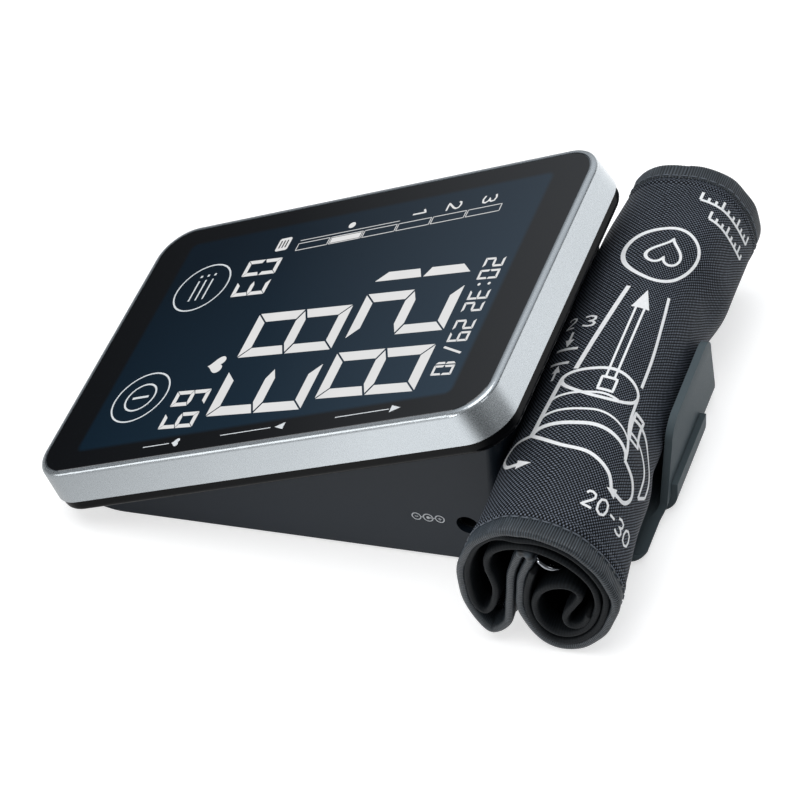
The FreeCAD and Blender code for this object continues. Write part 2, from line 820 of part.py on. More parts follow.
def pump_hose():
    """From the pump's outlet to the manifold."""
    start = air_y + manifold_side / 2 + small_gap
    end = pump_front(air_z - pump_z - nozzle_radius - hose_wall) - small_gap * 2
    return hose(vec(manifold_x, start, air_z), Y_AXIS, end - start)


def valve_hose():
    """From the manifold to the release valve."""
    start = manifold_x + manifold_side / 2 + small_gap
    return hose(vec(start, air_y, air_z), X_AXIS, valve_start - small_gap - start)


def socket_hose():
    """From the manifold to the hose socket in the left wall."""
    start = socket_back + small_gap
    end = manifold_x - manifold_side / 2 - small_gap
    return hose(vec(start, air_y, air_z), X_AXIS, end - start)


def sensor_hose():
    """From the manifold up to the pressure sensor."""
    low = manifold_top() + hose_wall + nozzle_radius
    return sloped(hose(vec(manifold_x, sensor_u(), low), Z_AXIS,
                       board_low - sensor_thick - small_gap - low))


def release_valve():
    """Solenoid valve that lets the air out, on the roof of the battery bay."""
    half = valve_width / 2
    low = bay_high + bay_wall
    body = block(valve_start, valve_start + valve_length, air_y - half, air_y + half, low,
                 low + valve_height)
    nozzle = rod(nozzle_radius, vec(valve_start - nozzle_length, air_y, air_z), X_AXIS,
                 nozzle_length)
    room_start = plunger_start - plunger_travel
    room = rod(plunger_radius + plunger_gap, vec(room_start, air_y, air_z), X_AXIS,
               plunger_travel + plunger_length + spring_room)
    bore = rod(nozzle_bore, vec(valve_start - nozzle_length, air_y, air_z), X_AXIS,
               plunger_start - valve_start + nozzle_length)
    return body.fuse(nozzle).cut(room).cut(bore).removeSplitter()


def valve_plunger():
    """Sliding core of the valve."""
    return rod(plunger_radius, vec(plunger_start, air_y, air_z), X_AXIS, plunger_length)


def air_socket():
    """Socket for the cuff's hose plug in the left wall."""
    half = base_width / 2
    inner = -half + base_wall
    neck = rod(socket_hole_radius - small_gap, vec(-half, air_y, air_z), X_AXIS, base_wall)
    body = rod(socket_hole_radius + socket_flange, vec(inner, air_y, air_z), X_AXIS,
               socket_back - inner)
    nozzle = rod(nozzle_radius, vec(socket_back, air_y, air_z), X_AXIS, nozzle_length)
    room = rod(socket_bore_radius, vec(-half, air_y, air_z), X_AXIS, socket_depth)
    bore = rod(nozzle_bore, vec(-half, air_y, air_z), X_AXIS,
               socket_depth + socket_floor + nozzle_length)
    return neck.fuse(body).fuse(nozzle).cut(room).cut(bore).removeSplitter()


def power_jack():
    """Mains adapter jack behind the hole in the right wall, with its centre pin."""
    face = base_width / 2 - base_wall
    back = face - jack_depth
    half = jack_side / 2
    body = block(back, face, jack_y - half, jack_y + half, jack_z - half, jack_z + half)
    mouth = rod(jack_bore_radius, vec(face - jack_bore_length, jack_y, jack_z), X_AXIS,
                jack_bore_length)
    chamber = rod(jack_chamber_radius, vec(back + jack_back, jack_y, jack_z), X_AXIS,
                  jack_depth - jack_back - jack_bore_length)
    pin = rod(jack_pin_radius, vec(back + jack_back - jack_pin_root, jack_y, jack_z), X_AXIS,
              jack_pin_root + jack_pin_length)
    return body.cut(mouth).cut(chamber).fuse(pin).removeSplitter()


# ---- cuff holder ----
def holder_path(inset):
    """Side view of the bent plate's outer face, moved inwards by inset."""
    angle = math.radians(base_lean)
    radius = holder_bend - inset
    outer_y = holder_inner_foot + holder_thick / math.cos(angle)
    centre_z = floor_low + holder_bend
    centre_y = (outer_y + lean * (centre_z - floor_low)) - holder_bend / math.cos(angle)
    points = [(base_rear - holder_tongue, floor_low + inset)]
    for i in range(bend_steps + 1):
        a = math.radians(-90) + (math.radians(90) - angle) * i / bend_steps
        points.append((centre_y + radius * math.cos(a), centre_z + radius * math.sin(a)))
    y, z = points[-1]
    top = holder_height + holder_thick
    points.append((y + lean * (top - z), top))
    return points


def holder_plate(outer_inset, inner_inset, half_x):
    """A bent strip between two offsets of the holder's side view."""
    outer = holder_path(outer_inset)
    inner = holder_path(inner_inset)
    return side_prism(outer + inner[::-1], half_x)


def cuff_holder():
    """Bent plate: tongue in the base, tray under the cuff and an upright behind it."""
    plate = holder_plate(0, holder_thick, holder_near_reach)
    plate = plate.common(holder_front_view().extrude(vec(0, holder_inner_foot * 2, 0)))
    rear = holder_inner_foot + holder_thick + lean * holder_bend
    tray = round_wire((holder_near_reach + holder_far_reach) / 2, base_rear + tongue_gap, rear,
                      small_gap, holder_plate_corner, -overshoot)
    tray.translate(vec(tray_middle, 0, 0))
    tray_high = holder_plate_top + holder_flare_round
    tongue = block(-holder_tongue_half, holder_tongue_half, 0, base_rear + tongue_gap + small_gap,
                   -overshoot, tray_high)
    low_column = Part.Face(tray).extrude(vec(0, 0, tray_high + overshoot)).fuse(tongue)
    upright = block(-holder_near_reach, holder_near_reach, 0, holder_inner_foot * 2,
                    tray_high, beyond)
    plate = plate.common(low_column.fuse(upright))
    for x, y in holder_screw_places():
        plate = plate.cut(rod(screw_radius + shank_gap, vec(x, y, 0), Z_AXIS,
                              floor_low + holder_thick + overshoot))
    return plate.removeSplitter()


def holder_front_view():
    """The holder seen from behind: round shoulders, slanted sides and a flare into the tray."""
    shoulder_x = holder_top_half - holder_shoulder
    shoulder_z = holder_height - holder_shoulder
    flare_x = holder_foot_half + holder_flare_round
    flare_z = holder_plate_top + holder_flare_round

    def half(side, reach):
        def place(x, z):
            return vec(holder_middle + side * x, 0, z)
        edge = reach - side * holder_middle
        return [
            Part.makeLine(place(0, holder_height), place(shoulder_x, holder_height)),
            arc((shoulder_x, shoulder_z), holder_shoulder, 90, 0, place),
            Part.makeLine(place(holder_top_half, shoulder_z), place(holder_foot_half, flare_z)),
            arc((flare_x, flare_z), holder_flare_round, 180, 270, place),
            Part.makeLine(place(flare_x, holder_plate_top), place(edge, holder_plate_top)),
            Part.makeLine(place(edge, holder_plate_top), place(edge, -overshoot)),
            Part.makeLine(place(edge, -overshoot), place(0, -overshoot)),
        ]
    outline = half(1, holder_near_reach) + half(-1, holder_far_reach)[::-1]
    return Part.Face(Part.Wire(outline))


def holder_screw_places():
    return [(side * holder_screw_x, base_rear - holder_tongue / 2) for side in (-1, 1)]


def holder_screws():
    """Two flat-head screws that hold the tongue."""
    screws = []
    for x, y in holder_screw_places():
        head = rod(screw_head_radius, vec(x, y, floor_low - flat_head_thick), Z_AXIS,
                   flat_head_thick)
        shank = rod(screw_radius - small_gap, vec(x, y, floor_low), Z_AXIS,
                    pad_high - floor_low - small_gap * 4)
        screws.append(head.fuse(shank).removeSplitter())
    return group(screws)


def holder_heel():
    """Rubber heel around the holder's bend that stands on the table."""
    pad = holder_plate(-heel_pad_thick, -small_gap / 2, heel_pad_half)
    bend_start = holder_inner_foot - holder_bend
    high = floor_low + holder_bend + heel_pad_rise
    pad.translate(vec(tray_middle, 0, 0))
    return pad.common(block(tray_middle - heel_pad_half, tray_middle + heel_pad_half, bend_start,
                            holder_inner_foot * 2, 0, high))


# ---- rolled cuff ----
def swell(angle, centre, spread):
    """Smooth hump of height one around an angle, zero beyond its spread."""
    off = abs((angle - centre + 180) % 360 - 180)
    return math.cos(math.pi / 2 * min(off / spread, 1)) ** 2


def roll_reach(angle):
    """Share of the radius: a round lobe, a hanging lobe and the cleft between them."""
    cleft = swell(angle, cleft_angle, cleft_spread) * cleft_depth
    return 1 + swell(angle, lobe_angle, lobe_spread) * lobe_bulge - cleft


def roll_wire(x, inset, squeezed):
    """Section of the roll at a station, offset inwards and, if held, clear of base and holder."""
    points = []
    for i in range(roll_points):
        angle = 360 * i / roll_points + cleft_angle
        reach = roll_radius * roll_reach(angle) - inset
        y = roll_y + reach * math.cos(math.radians(angle))
        z = roll_z + reach * math.sin(math.radians(angle))
        if squeezed:
            rest = floor_low + holder_thick + cuff_seat_gap + inset
            z = max(z, rest)
            y = max(y, wall_y(z) + cuff_seat_gap + inset)
            y = min(y, holder_inner_foot + lean * (z - floor_low) - cuff_seat_gap - inset)
        points.append(vec(x, y, z))
    curve = Part.BSplineCurve()
    curve.interpolate(points, True)
    return Part.Wire(curve.toShape())


def roll_solid(x0, x1, inset):
    """The roll's form between two stations, swelling beyond the holder on the user's right."""
    knee = roll_wire(bulge_start, inset, True)
    held = Part.makeLoft([roll_wire(-half_cuff, inset, True), knee], True, True)
    free = Part.makeLoft([knee, roll_wire(half_cuff, inset, False)], True, True)
    return held.fuse(free).common(block(x0, x1, roll_y - beyond, roll_y + beyond,
                                        roll_z - beyond, roll_z + beyond))


def oval(half_y, half_z, y, z, x0, x1):
    """An upright elliptic rod along X."""
    major, minor = max(half_y, half_z), min(half_y, half_z)
    ring = Part.Ellipse(vec(0, 0, 0), major, minor).toShape()
    face = Part.Face(Part.Wire(ring))
    face.rotate(vec(0, 0, 0), Y_AXIS, 90)
    if half_y > half_z:
        face.rotate(vec(0, 0, 0), X_AXIS, 90)
    face.translate(vec(x0, y, z))
    return face.extrude(vec(x1 - x0, 0, 0))


def coil_layer(outer_inset, inner_inset):
    """One layer of the wound coil inside the right lobe."""
    ends = half_cuff - small_gap
    outer = oval(coil_half_y - outer_inset, coil_half_z - outer_inset, coil_y, coil_z, -ends, ends)
    inner = oval(coil_half_y - inner_inset, coil_half_z - inner_inset, coil_y, coil_z,
                 -ends - overshoot, ends + overshoot)
    return outer.cut(inner)


def cuff_coil():
    """Outer cloth of the wound coil."""
    return coil_layer(0, cuff_cloth)


def cuff_bladder():
    """Air bladder wound between the cloth layers."""
    start = cuff_cloth + small_gap
    return coil_layer(start, start + bladder_thick)


def cuff_core():
    """Innermost cloth turn of the coil."""
    start = cuff_cloth + bladder_thick + small_gap * 2
    return coil_layer(start, start + core_thick)


def cuff_tail_fold():
    """Folded end of the strap inside the left lobe."""
    ends = half_cuff - small_gap
    return oval(tail_half_y, tail_half_z, tail_y, tail_z, -ends, ends)


def placed_bar(shape):
    """Lays the loop in the gap above the coil."""
    turned = shape.copy()
    turned.Placement = FreeCAD.Placement(vec(0, bar_y, bar_z),
                                         FreeCAD.Rotation(X_AXIS, bar_slope))
    return turned


def cuff_loop_bar():
    """Chromed wire loop that the cuff is threaded through."""
    half = bar_length / 2 - bar_width / 2
    side = bar_width / 2 - bar_wire
    wires = []
    for y in (-side, side):
        wires.append(rod(bar_wire, vec(-half, y, 0), X_AXIS, 2 * half))
    for x, turn in ((half, -90), (-half, 90)):
        bend = Part.makeTorus(side, bar_wire, vec(0, 0, 0), Z_AXIS, -180, 180, 180)
        bend.rotate(vec(0, 0, 0), Z_AXIS, turn)
        bend.translate(vec(x, 0, 0))
        wires.append(bend)
    loop = wires[0]
    for wire in wires[1:]:
        loop = loop.fuse(wire)
    return placed_bar(loop.removeSplitter())


def inner_room():
    """Space taken out of the roll for the coil, the fold and the wire loop."""
    ends = half_cuff + overshoot
    coil = oval(coil_half_y + cuff_seat_gap, coil_half_z + cuff_seat_gap, coil_y, coil_z,
                -ends, ends)
    tail = oval(tail_half_y + cuff_seat_gap, tail_half_z + cuff_seat_gap, tail_y, tail_z,
                -ends, ends)
    half = (bar_width + cuff_seat_gap) / 2
    thick = bar_wire + cuff_seat_gap / 2
    slot = placed_bar(block(-ends, ends, -half, half, -thick, thick))
    return coil, tail, slot


def cuff_roll():
    """Main cloth of the rolled cuff, between its bound ends."""
    half = half_cuff
    body = roll_solid(-half, half, 0)
    for end in (-1, 1):
        inner_end = end * (half - binding_width)
        low, high = sorted((inner_end, end * half))
        body = body.cut(binding_ring(low, high, 0))
    for room in inner_room():
        body = body.cut(room)
    return body


def binding_ring(low, high, trim):
    """Tape folded over one end of the cloth."""
    outer = roll_solid(low, high, 0)
    inner = roll_solid(low, high, cuff_cloth - trim)
    return outer.cut(inner)


def near_binding():
    return binding_ring(half_cuff - binding_width, half_cuff, small_gap)


def far_binding():
    return binding_ring(-half_cuff, -half_cuff + binding_width, small_gap)


PARTS = {
    "bezel_frame": bezel_frame,
    "touch_glass": touch_glass,
    "glass_tape": glass_tape,
    "touch_film": touch_film,
    "display_panel": lambda: panel_plate(panel_high, panel_low),
    "backlight": lambda: panel_plate(panel_low - small_gap / 2, backlight_low),
    "display_frame": display_frame,
    "display_flex": display_flex,
    "main_board": main_board,
    "board_parts": board_parts,
    "board_screws": board_screws,
    "buzzer": buzzer,
    "pressure_sensor": pressure_sensor,
    "rear_cover": rear_cover,
    "base_shell": base_shell,
    "housing_screws": housing_screws,
    "rubber_feet": rubber_feet,
    "battery_door": battery_door,
    "aa_cells": aa_cells,
    "contact_plates": contact_plates,
    "contact_springs": contact_springs,
    "pump_head": pump_head,
    "pump_motor": pump_motor,
    "motor_rotor": motor_rotor,
    "pump_diaphragm": pump_diaphragm,
    "pump_cradle": pump_cradle,
    "air_manifold": air_manifold,
    "pump_hose": pump_hose,
    "valve_hose": valve_hose,
    "socket_hose": socket_hose,
    "sensor_hose": sensor_hose,
    "release_valve": release_valve,
    "valve_plunger": valve_plunger,
    "air_socket": air_socket,
    "power_jack": power_jack,
    "cuff_holder": cuff_holder,
    "holder_screws": holder_screws,
    "holder_heel": holder_heel,
    "cuff_roll": cuff_roll,
    "near_binding": near_binding,
    "far_binding": far_binding,
    "cuff_coil": cuff_coil,
    "cuff_bladder": cuff_bladder,
    "cuff_core": cuff_core,
    "cuff_tail_fold": cuff_tail_fold,
    "cuff_loop_bar": cuff_loop_bar,
}

os.makedirs("parts", exist_ok=True)
for name, make in PARTS.items():
    shape = make()
    shape.translate(vec(0, frame_shift, 0))
    shape.exportStep("parts/" + name + ".step")
    print(name, len(shape.Solids), shape.isValid(), round(shape.Volume, 1))

# ---- places that the record states, in metres ----
PLACES = {
    "power_jack": (base_width / 2 - base_wall - jack_bore_length / 2, jack_y, jack_z),
    "air_socket": (-base_width / 2 + socket_depth / 2, air_y, air_z),
    "rear_foot": (foot_rear_x, foot_rear, 0),
    "door_hinge": (0, bay_front + door_gap, floor_low),
    "rotor_axis": (motor_start, pump_y, pump_z),
}
for name, (x, y, z) in PLACES.items():
    print(name, [round(v / 1000, 6) for v in (x, y + frame_shift, z)])
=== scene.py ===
import bmesh
import bpy
import math
from mathutils import Matrix, Vector


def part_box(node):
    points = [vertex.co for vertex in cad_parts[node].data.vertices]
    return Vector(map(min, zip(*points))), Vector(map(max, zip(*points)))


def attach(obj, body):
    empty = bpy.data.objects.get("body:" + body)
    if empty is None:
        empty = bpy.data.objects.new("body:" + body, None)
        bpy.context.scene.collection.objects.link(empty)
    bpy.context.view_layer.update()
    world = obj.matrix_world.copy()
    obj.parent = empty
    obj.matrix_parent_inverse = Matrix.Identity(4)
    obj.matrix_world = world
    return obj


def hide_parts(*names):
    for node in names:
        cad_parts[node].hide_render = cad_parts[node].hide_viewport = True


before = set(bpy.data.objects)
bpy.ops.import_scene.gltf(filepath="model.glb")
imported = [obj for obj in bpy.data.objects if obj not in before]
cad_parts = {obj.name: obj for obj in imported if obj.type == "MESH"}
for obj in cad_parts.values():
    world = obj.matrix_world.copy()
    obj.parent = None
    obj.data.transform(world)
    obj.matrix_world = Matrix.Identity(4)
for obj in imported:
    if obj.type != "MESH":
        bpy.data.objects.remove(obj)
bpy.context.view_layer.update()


# ---- Base and battery door ----
# The wedge is injection-moulded ABS with a spark-eroded skin, screwed up into the display half.
# The battery door underneath is the same moulding batch, so it takes the same finish.

def linear(code):
    """An sRGB hex colour as the linear colour that the shader wants."""
    parts = [int(code[i:i + 2], 16) / 255 for i in (1, 3, 5)]
    parts = [c / 12.92 if c <= 0.04045 else ((c + 0.055) / 1.055) ** 2.4 for c in parts]
    return (*parts, 1.0)


def add(tree, kind, inputs=None, **settings):
    """Adds a node with its settings, values and links. A node given as a value links by its first
    live output."""
    made = tree.nodes.new(kind)
    for name, value in settings.items():
        setattr(made, name, value)
    for key, value in (inputs or {}).items():
        if isinstance(value, bpy.types.Node):
            value = next(socket for socket in value.outputs if socket.enabled)
        if isinstance(value, bpy.types.NodeSocket):
            tree.links.new(value, made.inputs[key])
        else:
            made.inputs[key].default_value = value
    return made


def start(name):
    """An empty material, ready for a finish: its tree, its surface input and Object coordinates."""
    material = bpy.data.materials.new(name)
    material.use_nodes = True
    tree = material.node_tree
    tree.nodes.clear()
    out = tree.nodes.new("ShaderNodeOutputMaterial")
    place = tree.nodes.new("ShaderNodeTexCoord").outputs["Object"]
    return material, tree, out.inputs["Surface"], place


def dress(material, *nodes):
    """Gives CAD nodes their finish."""
    for name in nodes:
        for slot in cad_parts[name].material_slots:
            slot.material = material


def moulded(name, colour, worn, rough, grain, depth, spec=0.5):
    """Moulded plastic or rubber: an eroded grain of a real size and depth in metres, with slow
    changes of tone and gloss."""
    material, tree, surface, place = start(name)
    fine = add(tree, "ShaderNodeTexNoise", {"Vector": place, "Scale": 1 / grain, "Detail": 3.0})
    slow = add(tree, "ShaderNodeTexNoise", {"Vector": place, "Scale": 28.0, "Detail": 4.0})
    tone = add(tree, "ShaderNodeMix", {"Factor": slow, 6: linear(colour), 7: linear(worn)},
               data_type="RGBA")
    gloss = add(tree, "ShaderNodeMapRange", {"Value": fine, "From Min": 0.3, "From Max": 0.7,
                                             "To Min": rough - 0.05, "To Max": rough + 0.06})
    skin = add(tree, "ShaderNodeBump", {"Height": fine, "Strength": 0.5, "Distance": depth})
    finish = add(tree, "ShaderNodeBsdfPrincipled", {"Base Color": tone, "Roughness": gloss,
                                                    "Specular IOR Level": spec, "Normal": skin})
    tree.links.new(finish.outputs[0], surface)
    return material


# Fine eroded grain of about 0.25 mm: it breaks the highlight into a soft satin.
satin_abs = moulded("satin_abs_shell", "#101820", "#161f29", 0.44, 0.00025, 0.00002, 0.2)
dress(satin_abs, "base_shell", "battery_door")

# Soft rubber takes no shine, and dust lifts its tone a little.
foot_rubber = moulded("rubber_feet_and_saddles", "#121315", "#1a1b1d", 0.85, 0.0006, 0.00004, 0.2)
dress(foot_rubber, "rubber_feet", "pump_cradle")


# ---- Cells, contacts and pump in the base ----
# Four AA cells in printed sleeves, nickel contacts, and a small motor that works a diaphragm pump.
# A moulded manifold and silicone couplings join pump, valve, pressure sensor and hose socket.

def metal(name, colour, rough, scratch, stretch):
    """Bare or plated metal with fine lines, which stretch draws out along an axis."""
    material, tree, surface, place = start(name)
    lines = add(tree, "ShaderNodeMapping", {"Vector": place, "Scale": stretch})
    grain = add(tree, "ShaderNodeTexNoise", {"Vector": lines, "Scale": 900.0, "Detail": 3.0})
    gloss = add(tree, "ShaderNodeMapRange", {"Value": grain, "To Min": rough * 0.7,
                                             "To Max": rough * 1.35})
    skin = add(tree, "ShaderNodeBump", {"Height": grain, "Strength": 0.3, "Distance": scratch})
    finish = add(tree, "ShaderNodeBsdfPrincipled", {"Base Color": linear(colour), "Metallic": 1.0,
                                                    "Roughness": gloss, "Normal": skin})
    tree.links.new(finish.outputs[0], surface)
    return material


# Drawn steel shows thin lines along the can and a dull silver shine.
drawn_steel = metal("drawn_steel_can", "#a9a9a6", 0.34, 0.00001, (0.1, 1.0, 1.0))
dress(drawn_steel, "pump_motor", "release_valve", "motor_rotor", "valve_plunger")
zinc_screw = metal("zinc_plated_screw", "#9c9d9b", 0.3, 0.00001, (1.0, 1.0, 1.0))
dress(zinc_screw, "housing_screws", "board_screws", "holder_screws")
nickel = metal("nickel_contact", "#c9c4b6", 0.2, 0.000005, (1.0, 1.0, 1.0))
dress(nickel, "contact_plates", "contact_springs")

# Printed sleeve of glossy film: a dark body with one narrow orange band towards the nose, and
# bare metal at both ends.
cell_sleeve, tree, surface, place = start("printed_cell_sleeve")
along = add(tree, "ShaderNodeSeparateXYZ", {"Vector": place})
cell_low, cell_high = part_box("aa_cells")
sleeve, end_metal, nose_cap = "#1c2733", "#b9b7b0", 0.975
share = add(tree, "ShaderNodeMapRange", {"Value": along.outputs["Y"], "From Min": cell_low.y,
                                         "From Max": cell_high.y})
bands = add(tree, "ShaderNodeValToRGB", {"Fac": share})
bands.color_ramp.interpolation = "CONSTANT"
for element in bands.color_ramp.elements:
    element.color = linear(end_metal)
bands.color_ramp.elements[1].position = nose_cap
for position, colour in ((0.035, sleeve), (0.72, "#a8693a"), (0.76, sleeve)):
    bands.color_ramp.elements.new(position).color = linear(colour)
film = add(tree, "ShaderNodeTexNoise", {"Vector": place, "Scale": 260.0})
gloss = add(tree, "ShaderNodeMapRange", {"Value": film, "To Min": 0.14, "To Max": 0.3})
finish = add(tree, "ShaderNodeBsdfPrincipled", {"Base Color": bands, "Roughness": gloss})
tree.links.new(finish.outputs[0], surface)
dress(cell_sleeve, "aa_cells")

natural_nylon = moulded("natural_nylon", "#d6d4cb", "#e2e0d8", 0.4, 0.0005, 0.00002)
dress(natural_nylon, "air_manifold", "backlight")
grey_abs = moulded("grey_inner_moulding", "#3a3b3e", "#434549", 0.5, 0.0004, 0.00002)
dress(grey_abs, "pump_head", "display_frame")
silicone = moulded("silicone_tube", "#c9c8c2", "#d8d7d2", 0.3, 0.0008, 0.00001)
dress(silicone, "pump_hose", "valve_hose", "socket_hose", "sensor_hose", "pump_diaphragm")
black_nylon = moulded("black_nylon_socket", "#0e0f11", "#16181a", 0.38, 0.0003, 0.00001)
dress(black_nylon, "air_socket", "power_jack", "board_parts", "buzzer", "pressure_sensor")


# ---- Circuit board and display stack ----
# Fibreglass board with green mask over etched tracks, screwed under the frame that holds the panel.
# The panel, its light and the touch film lie right under the glass, out of sight.

# Solder mask is a glossy green film, and the etched tracks under it show as faint raised lanes.
board_mask, tree, surface, place = start("green_solder_mask")
tracks = add(tree, "ShaderNodeTexBrick", {"Vector": place, "Scale": 1.0, "Mortar Size": 0.00018,
                                          "Brick Width": 0.0062, "Row Height": 0.0017,
                                          "Color1": linear("#0c3d22"), "Color2": linear("#0a351e"),
                                          "Mortar": linear("#1f6a3c")}, offset=0.35)
skin = add(tree, "ShaderNodeBump", {"Height": tracks.outputs["Fac"], "Strength": 0.4,
                                    "Distance": 0.00003})
finish = add(tree, "ShaderNodeBsdfPrincipled", {"Base Color": tracks, "Roughness": 0.28,
                                                "Normal": skin})
tree.links.new(finish.outputs[0], surface)
dress(board_mask, "main_board")
amber_film = moulded("amber_flex_film", "#9a5a1c", "#a8682a", 0.25, 0.0009, 0.00001)
dress(amber_film, "display_flex")
black_tape = moulded("black_foam_tape", "#101010", "#181818", 0.8, 0.0004, 0.00003, 0.3)
dress(black_tape, "glass_tape")
dark_panel = moulded("dark_display_panel", "#0d141b", "#101a24", 0.15, 0.002, 0.000005)
dress(dark_panel, "display_panel", "touch_film")


# ---- Glossy lip under the bezel ----
# The cover plate is high-gloss black ABS, polished in the mould, and only its edge shows.

# The display half is tilted towards the user. Levels are heights square to the glass, in metres.
slope = math.radians(19.0)
glass_middle = Vector((0.0, -0.017379, 0.0436))
shaded_level, polished_level = -0.0144, -0.0128
# Polish gives a near mirror with faint wiping marks, no grain. Towards the rim's underside its
# shine fades out, a painted shade.
piano_black, tree, surface, place = start("polished_black_abs")
wipe = add(tree, "ShaderNodeMapping", {"Vector": place, "Scale": (1.0, 0.15, 1.0)})
marks = add(tree, "ShaderNodeTexNoise", {"Vector": wipe, "Scale": 700.0, "Detail": 4.0})
gloss = add(tree, "ShaderNodeMapRange", {"Value": marks, "To Min": 0.12, "To Max": 0.2})
tilted = add(tree, "ShaderNodeMapping", {"Vector": place, "Location": glass_middle,
                                         "Rotation": (slope, 0.0, 0.0)}, vector_type="TEXTURE")
level = add(tree, "ShaderNodeSeparateXYZ", {"Vector": tilted})
shine_fading_to_shade = add(tree, "ShaderNodeMapRange", {"Value": level.outputs["Z"], "From Min": shaded_level,
                                          "From Max": polished_level, "To Min": 0.0,
                                          "To Max": 0.06})
finish = add(tree, "ShaderNodeBsdfPrincipled", {"Base Color": linear("#07080a"), "Roughness": gloss,
                                                "Specular IOR Level": shine_fading_to_shade})
tree.links.new(finish.outputs[0], surface)
dress(piano_black, "rear_cover")


# ---- Silver bezel ----
# Moulded frame with satin silver paint: fine aluminium flakes under a thin clear coat.

# The flakes are about 0.05 mm, drawn at 0.2 mm so that they still sparkle in a whole view. The
# coat over them is smoother than the paint, so a sharp gleam lies on a soft one.
silver_paint, tree, surface, place = start("satin_silver_paint")
flakes = add(tree, "ShaderNodeTexVoronoi", {"Vector": place, "Scale": 1 / 0.0002})
slow = add(tree, "ShaderNodeTexNoise", {"Vector": place, "Scale": 35.0, "Detail": 2.0})
tone = add(tree, "ShaderNodeMapRange", {"Value": flakes.outputs["Color"], "To Min": 0.975,
                                        "To Max": 1.025})
base = add(tree, "ShaderNodeMix", {"Factor": slow, 6: linear("#b8bec2"), 7: linear("#c3c9cd")},
           data_type="RGBA")
lit = add(tree, "ShaderNodeVectorMath", {0: base, 1: tone}, operation="MULTIPLY")
gloss = add(tree, "ShaderNodeMapRange", {"Value": flakes.outputs["Color"], "To Min": 0.24,
                                         "To Max": 0.31})
skin = add(tree, "ShaderNodeBump", {"Height": flakes.outputs["Distance"], "Strength": 0.02,
                                    "Distance": 0.00002})
finish = add(tree, "ShaderNodeBsdfPrincipled", {"Base Color": lit, "Metallic": 0.85,
                                                "Roughness": gloss, "Coat Weight": 0.5,
                                                "Coat Roughness": 0.06, "Normal": skin})
tree.links.new(finish.outputs[0], surface)
dress(silver_paint, "bezel_frame")


# ---- Cover glass ----
# Float glass, back-printed black, with a ground edge. The lit area is a shade bluer than the print.

# Half sizes and corner radii, in metres. The ground edge is a narrow pale line round the outside:
# the frosted glass's own pale tone with a painted highlight where it catches light.
lit_half, lit_corner, lit_fade = (0.0421, 0.0638), 0.0015, 0.0014
glass_half, glass_corner, edge_fade = (0.0502, 0.0767), 0.0102, 0.0001
print_half, print_corner = (0.04975, 0.07625), 0.00975

black_glass, tree, surface, place = start("back_printed_glass")
flat = add(tree, "ShaderNodeMapping", {"Vector": place, "Location": glass_middle,
                                       "Rotation": (slope, 0.0, 0.0)}, vector_type="TEXTURE")
size = add(tree, "ShaderNodeVectorMath", {0: flat}, operation="ABSOLUTE")


def inside(half, radius, soft):
    """One inside a rounded rectangle on the glass and zero outside, fading over a soft rim."""
    corner = add(tree, "ShaderNodeVectorMath",
                 {0: size, 1: (half[0] - radius, half[1] - radius, 1.0)}, operation="SUBTRACT")
    beyond = add(tree, "ShaderNodeVectorMath", {0: corner, 1: (0, 0, 0)}, operation="MAXIMUM")
    far = add(tree, "ShaderNodeVectorMath", {0: beyond}, operation="LENGTH")
    return add(tree, "ShaderNodeMapRange", {"Value": far, "From Min": radius + soft,
                                            "From Max": radius})


lit_area = inside(lit_half, lit_corner, lit_fade)
edge_out = inside(glass_half, glass_corner, edge_fade)
edge_in = inside(print_half, print_corner, edge_fade)
rim = add(tree, "ShaderNodeMath", {0: edge_out, 1: edge_in}, operation="SUBTRACT")
across = add(tree, "ShaderNodeSeparateXYZ", {"Vector": flat})
# The backlit blue is painted lighter towards the far right corner and deeper towards the near left
# one, a painted reflection laid into the glow.
climb = add(tree, "ShaderNodeMath", {0: across.outputs["X"], 1: across.outputs["Y"]},
            operation="ADD")
painted_backlight_reflection = add(tree, "ShaderNodeMapRange", {"Value": climb, "From Min": -0.09, "From Max": 0.11})
blue = add(tree, "ShaderNodeMix", {"Factor": painted_backlight_reflection, 6: linear("#020f1a"), 7: linear("#0e2230")},
           data_type="RGBA")
print_tone = add(tree, "ShaderNodeMix", {"Factor": lit_area, 6: linear("#0a0c0f"), 7: blue},
                 data_type="RGBA")
tone_with_edge_highlight = add(tree, "ShaderNodeMix", {"Factor": rim, 6: print_tone, 7: linear("#6d7379")},
                data_type="RGBA")
smear = add(tree, "ShaderNodeTexNoise", {"Vector": place, "Scale": 60.0, "Detail": 3.0})
gloss = add(tree, "ShaderNodeMapRange", {"Value": smear, "To Min": 0.03, "To Max": 0.07})
shine = add(tree, "ShaderNodeMath", {0: lit_area, 1: 0.4}, operation="MULTIPLY")
finish = add(tree, "ShaderNodeBsdfPrincipled", {"Base Color": tone_with_edge_highlight, "Roughness": gloss,
                                                "IOR": 1.52, "Emission Color": blue,
                                                "Emission Strength": shine})
tree.links.new(finish.outputs[0], surface)
dress(black_glass, "touch_glass")


# ---- Lit figures on the display ----
# Seven-segment figures of the display: each segment is a flat mitred bar with a hairline gap.
# They are laid on the glass as thin plates and glow a soft white.

def on_glass(across, along, lift=0.0):
    """A point on the sloping glass, from millimetres across and along it."""
    run, up = along / 1000, lift / 1000
    return glass_middle + Vector((across / 1000, run * math.cos(slope) - up * math.sin(slope),
                                  run * math.sin(slope) + up * math.cos(slope)))


def new_object(name, data):
    """An object for a mesh, curve or lamp, linked into the scene."""
    made = bpy.data.objects.new(name, data)
    bpy.context.scene.collection.objects.link(made)
    return made


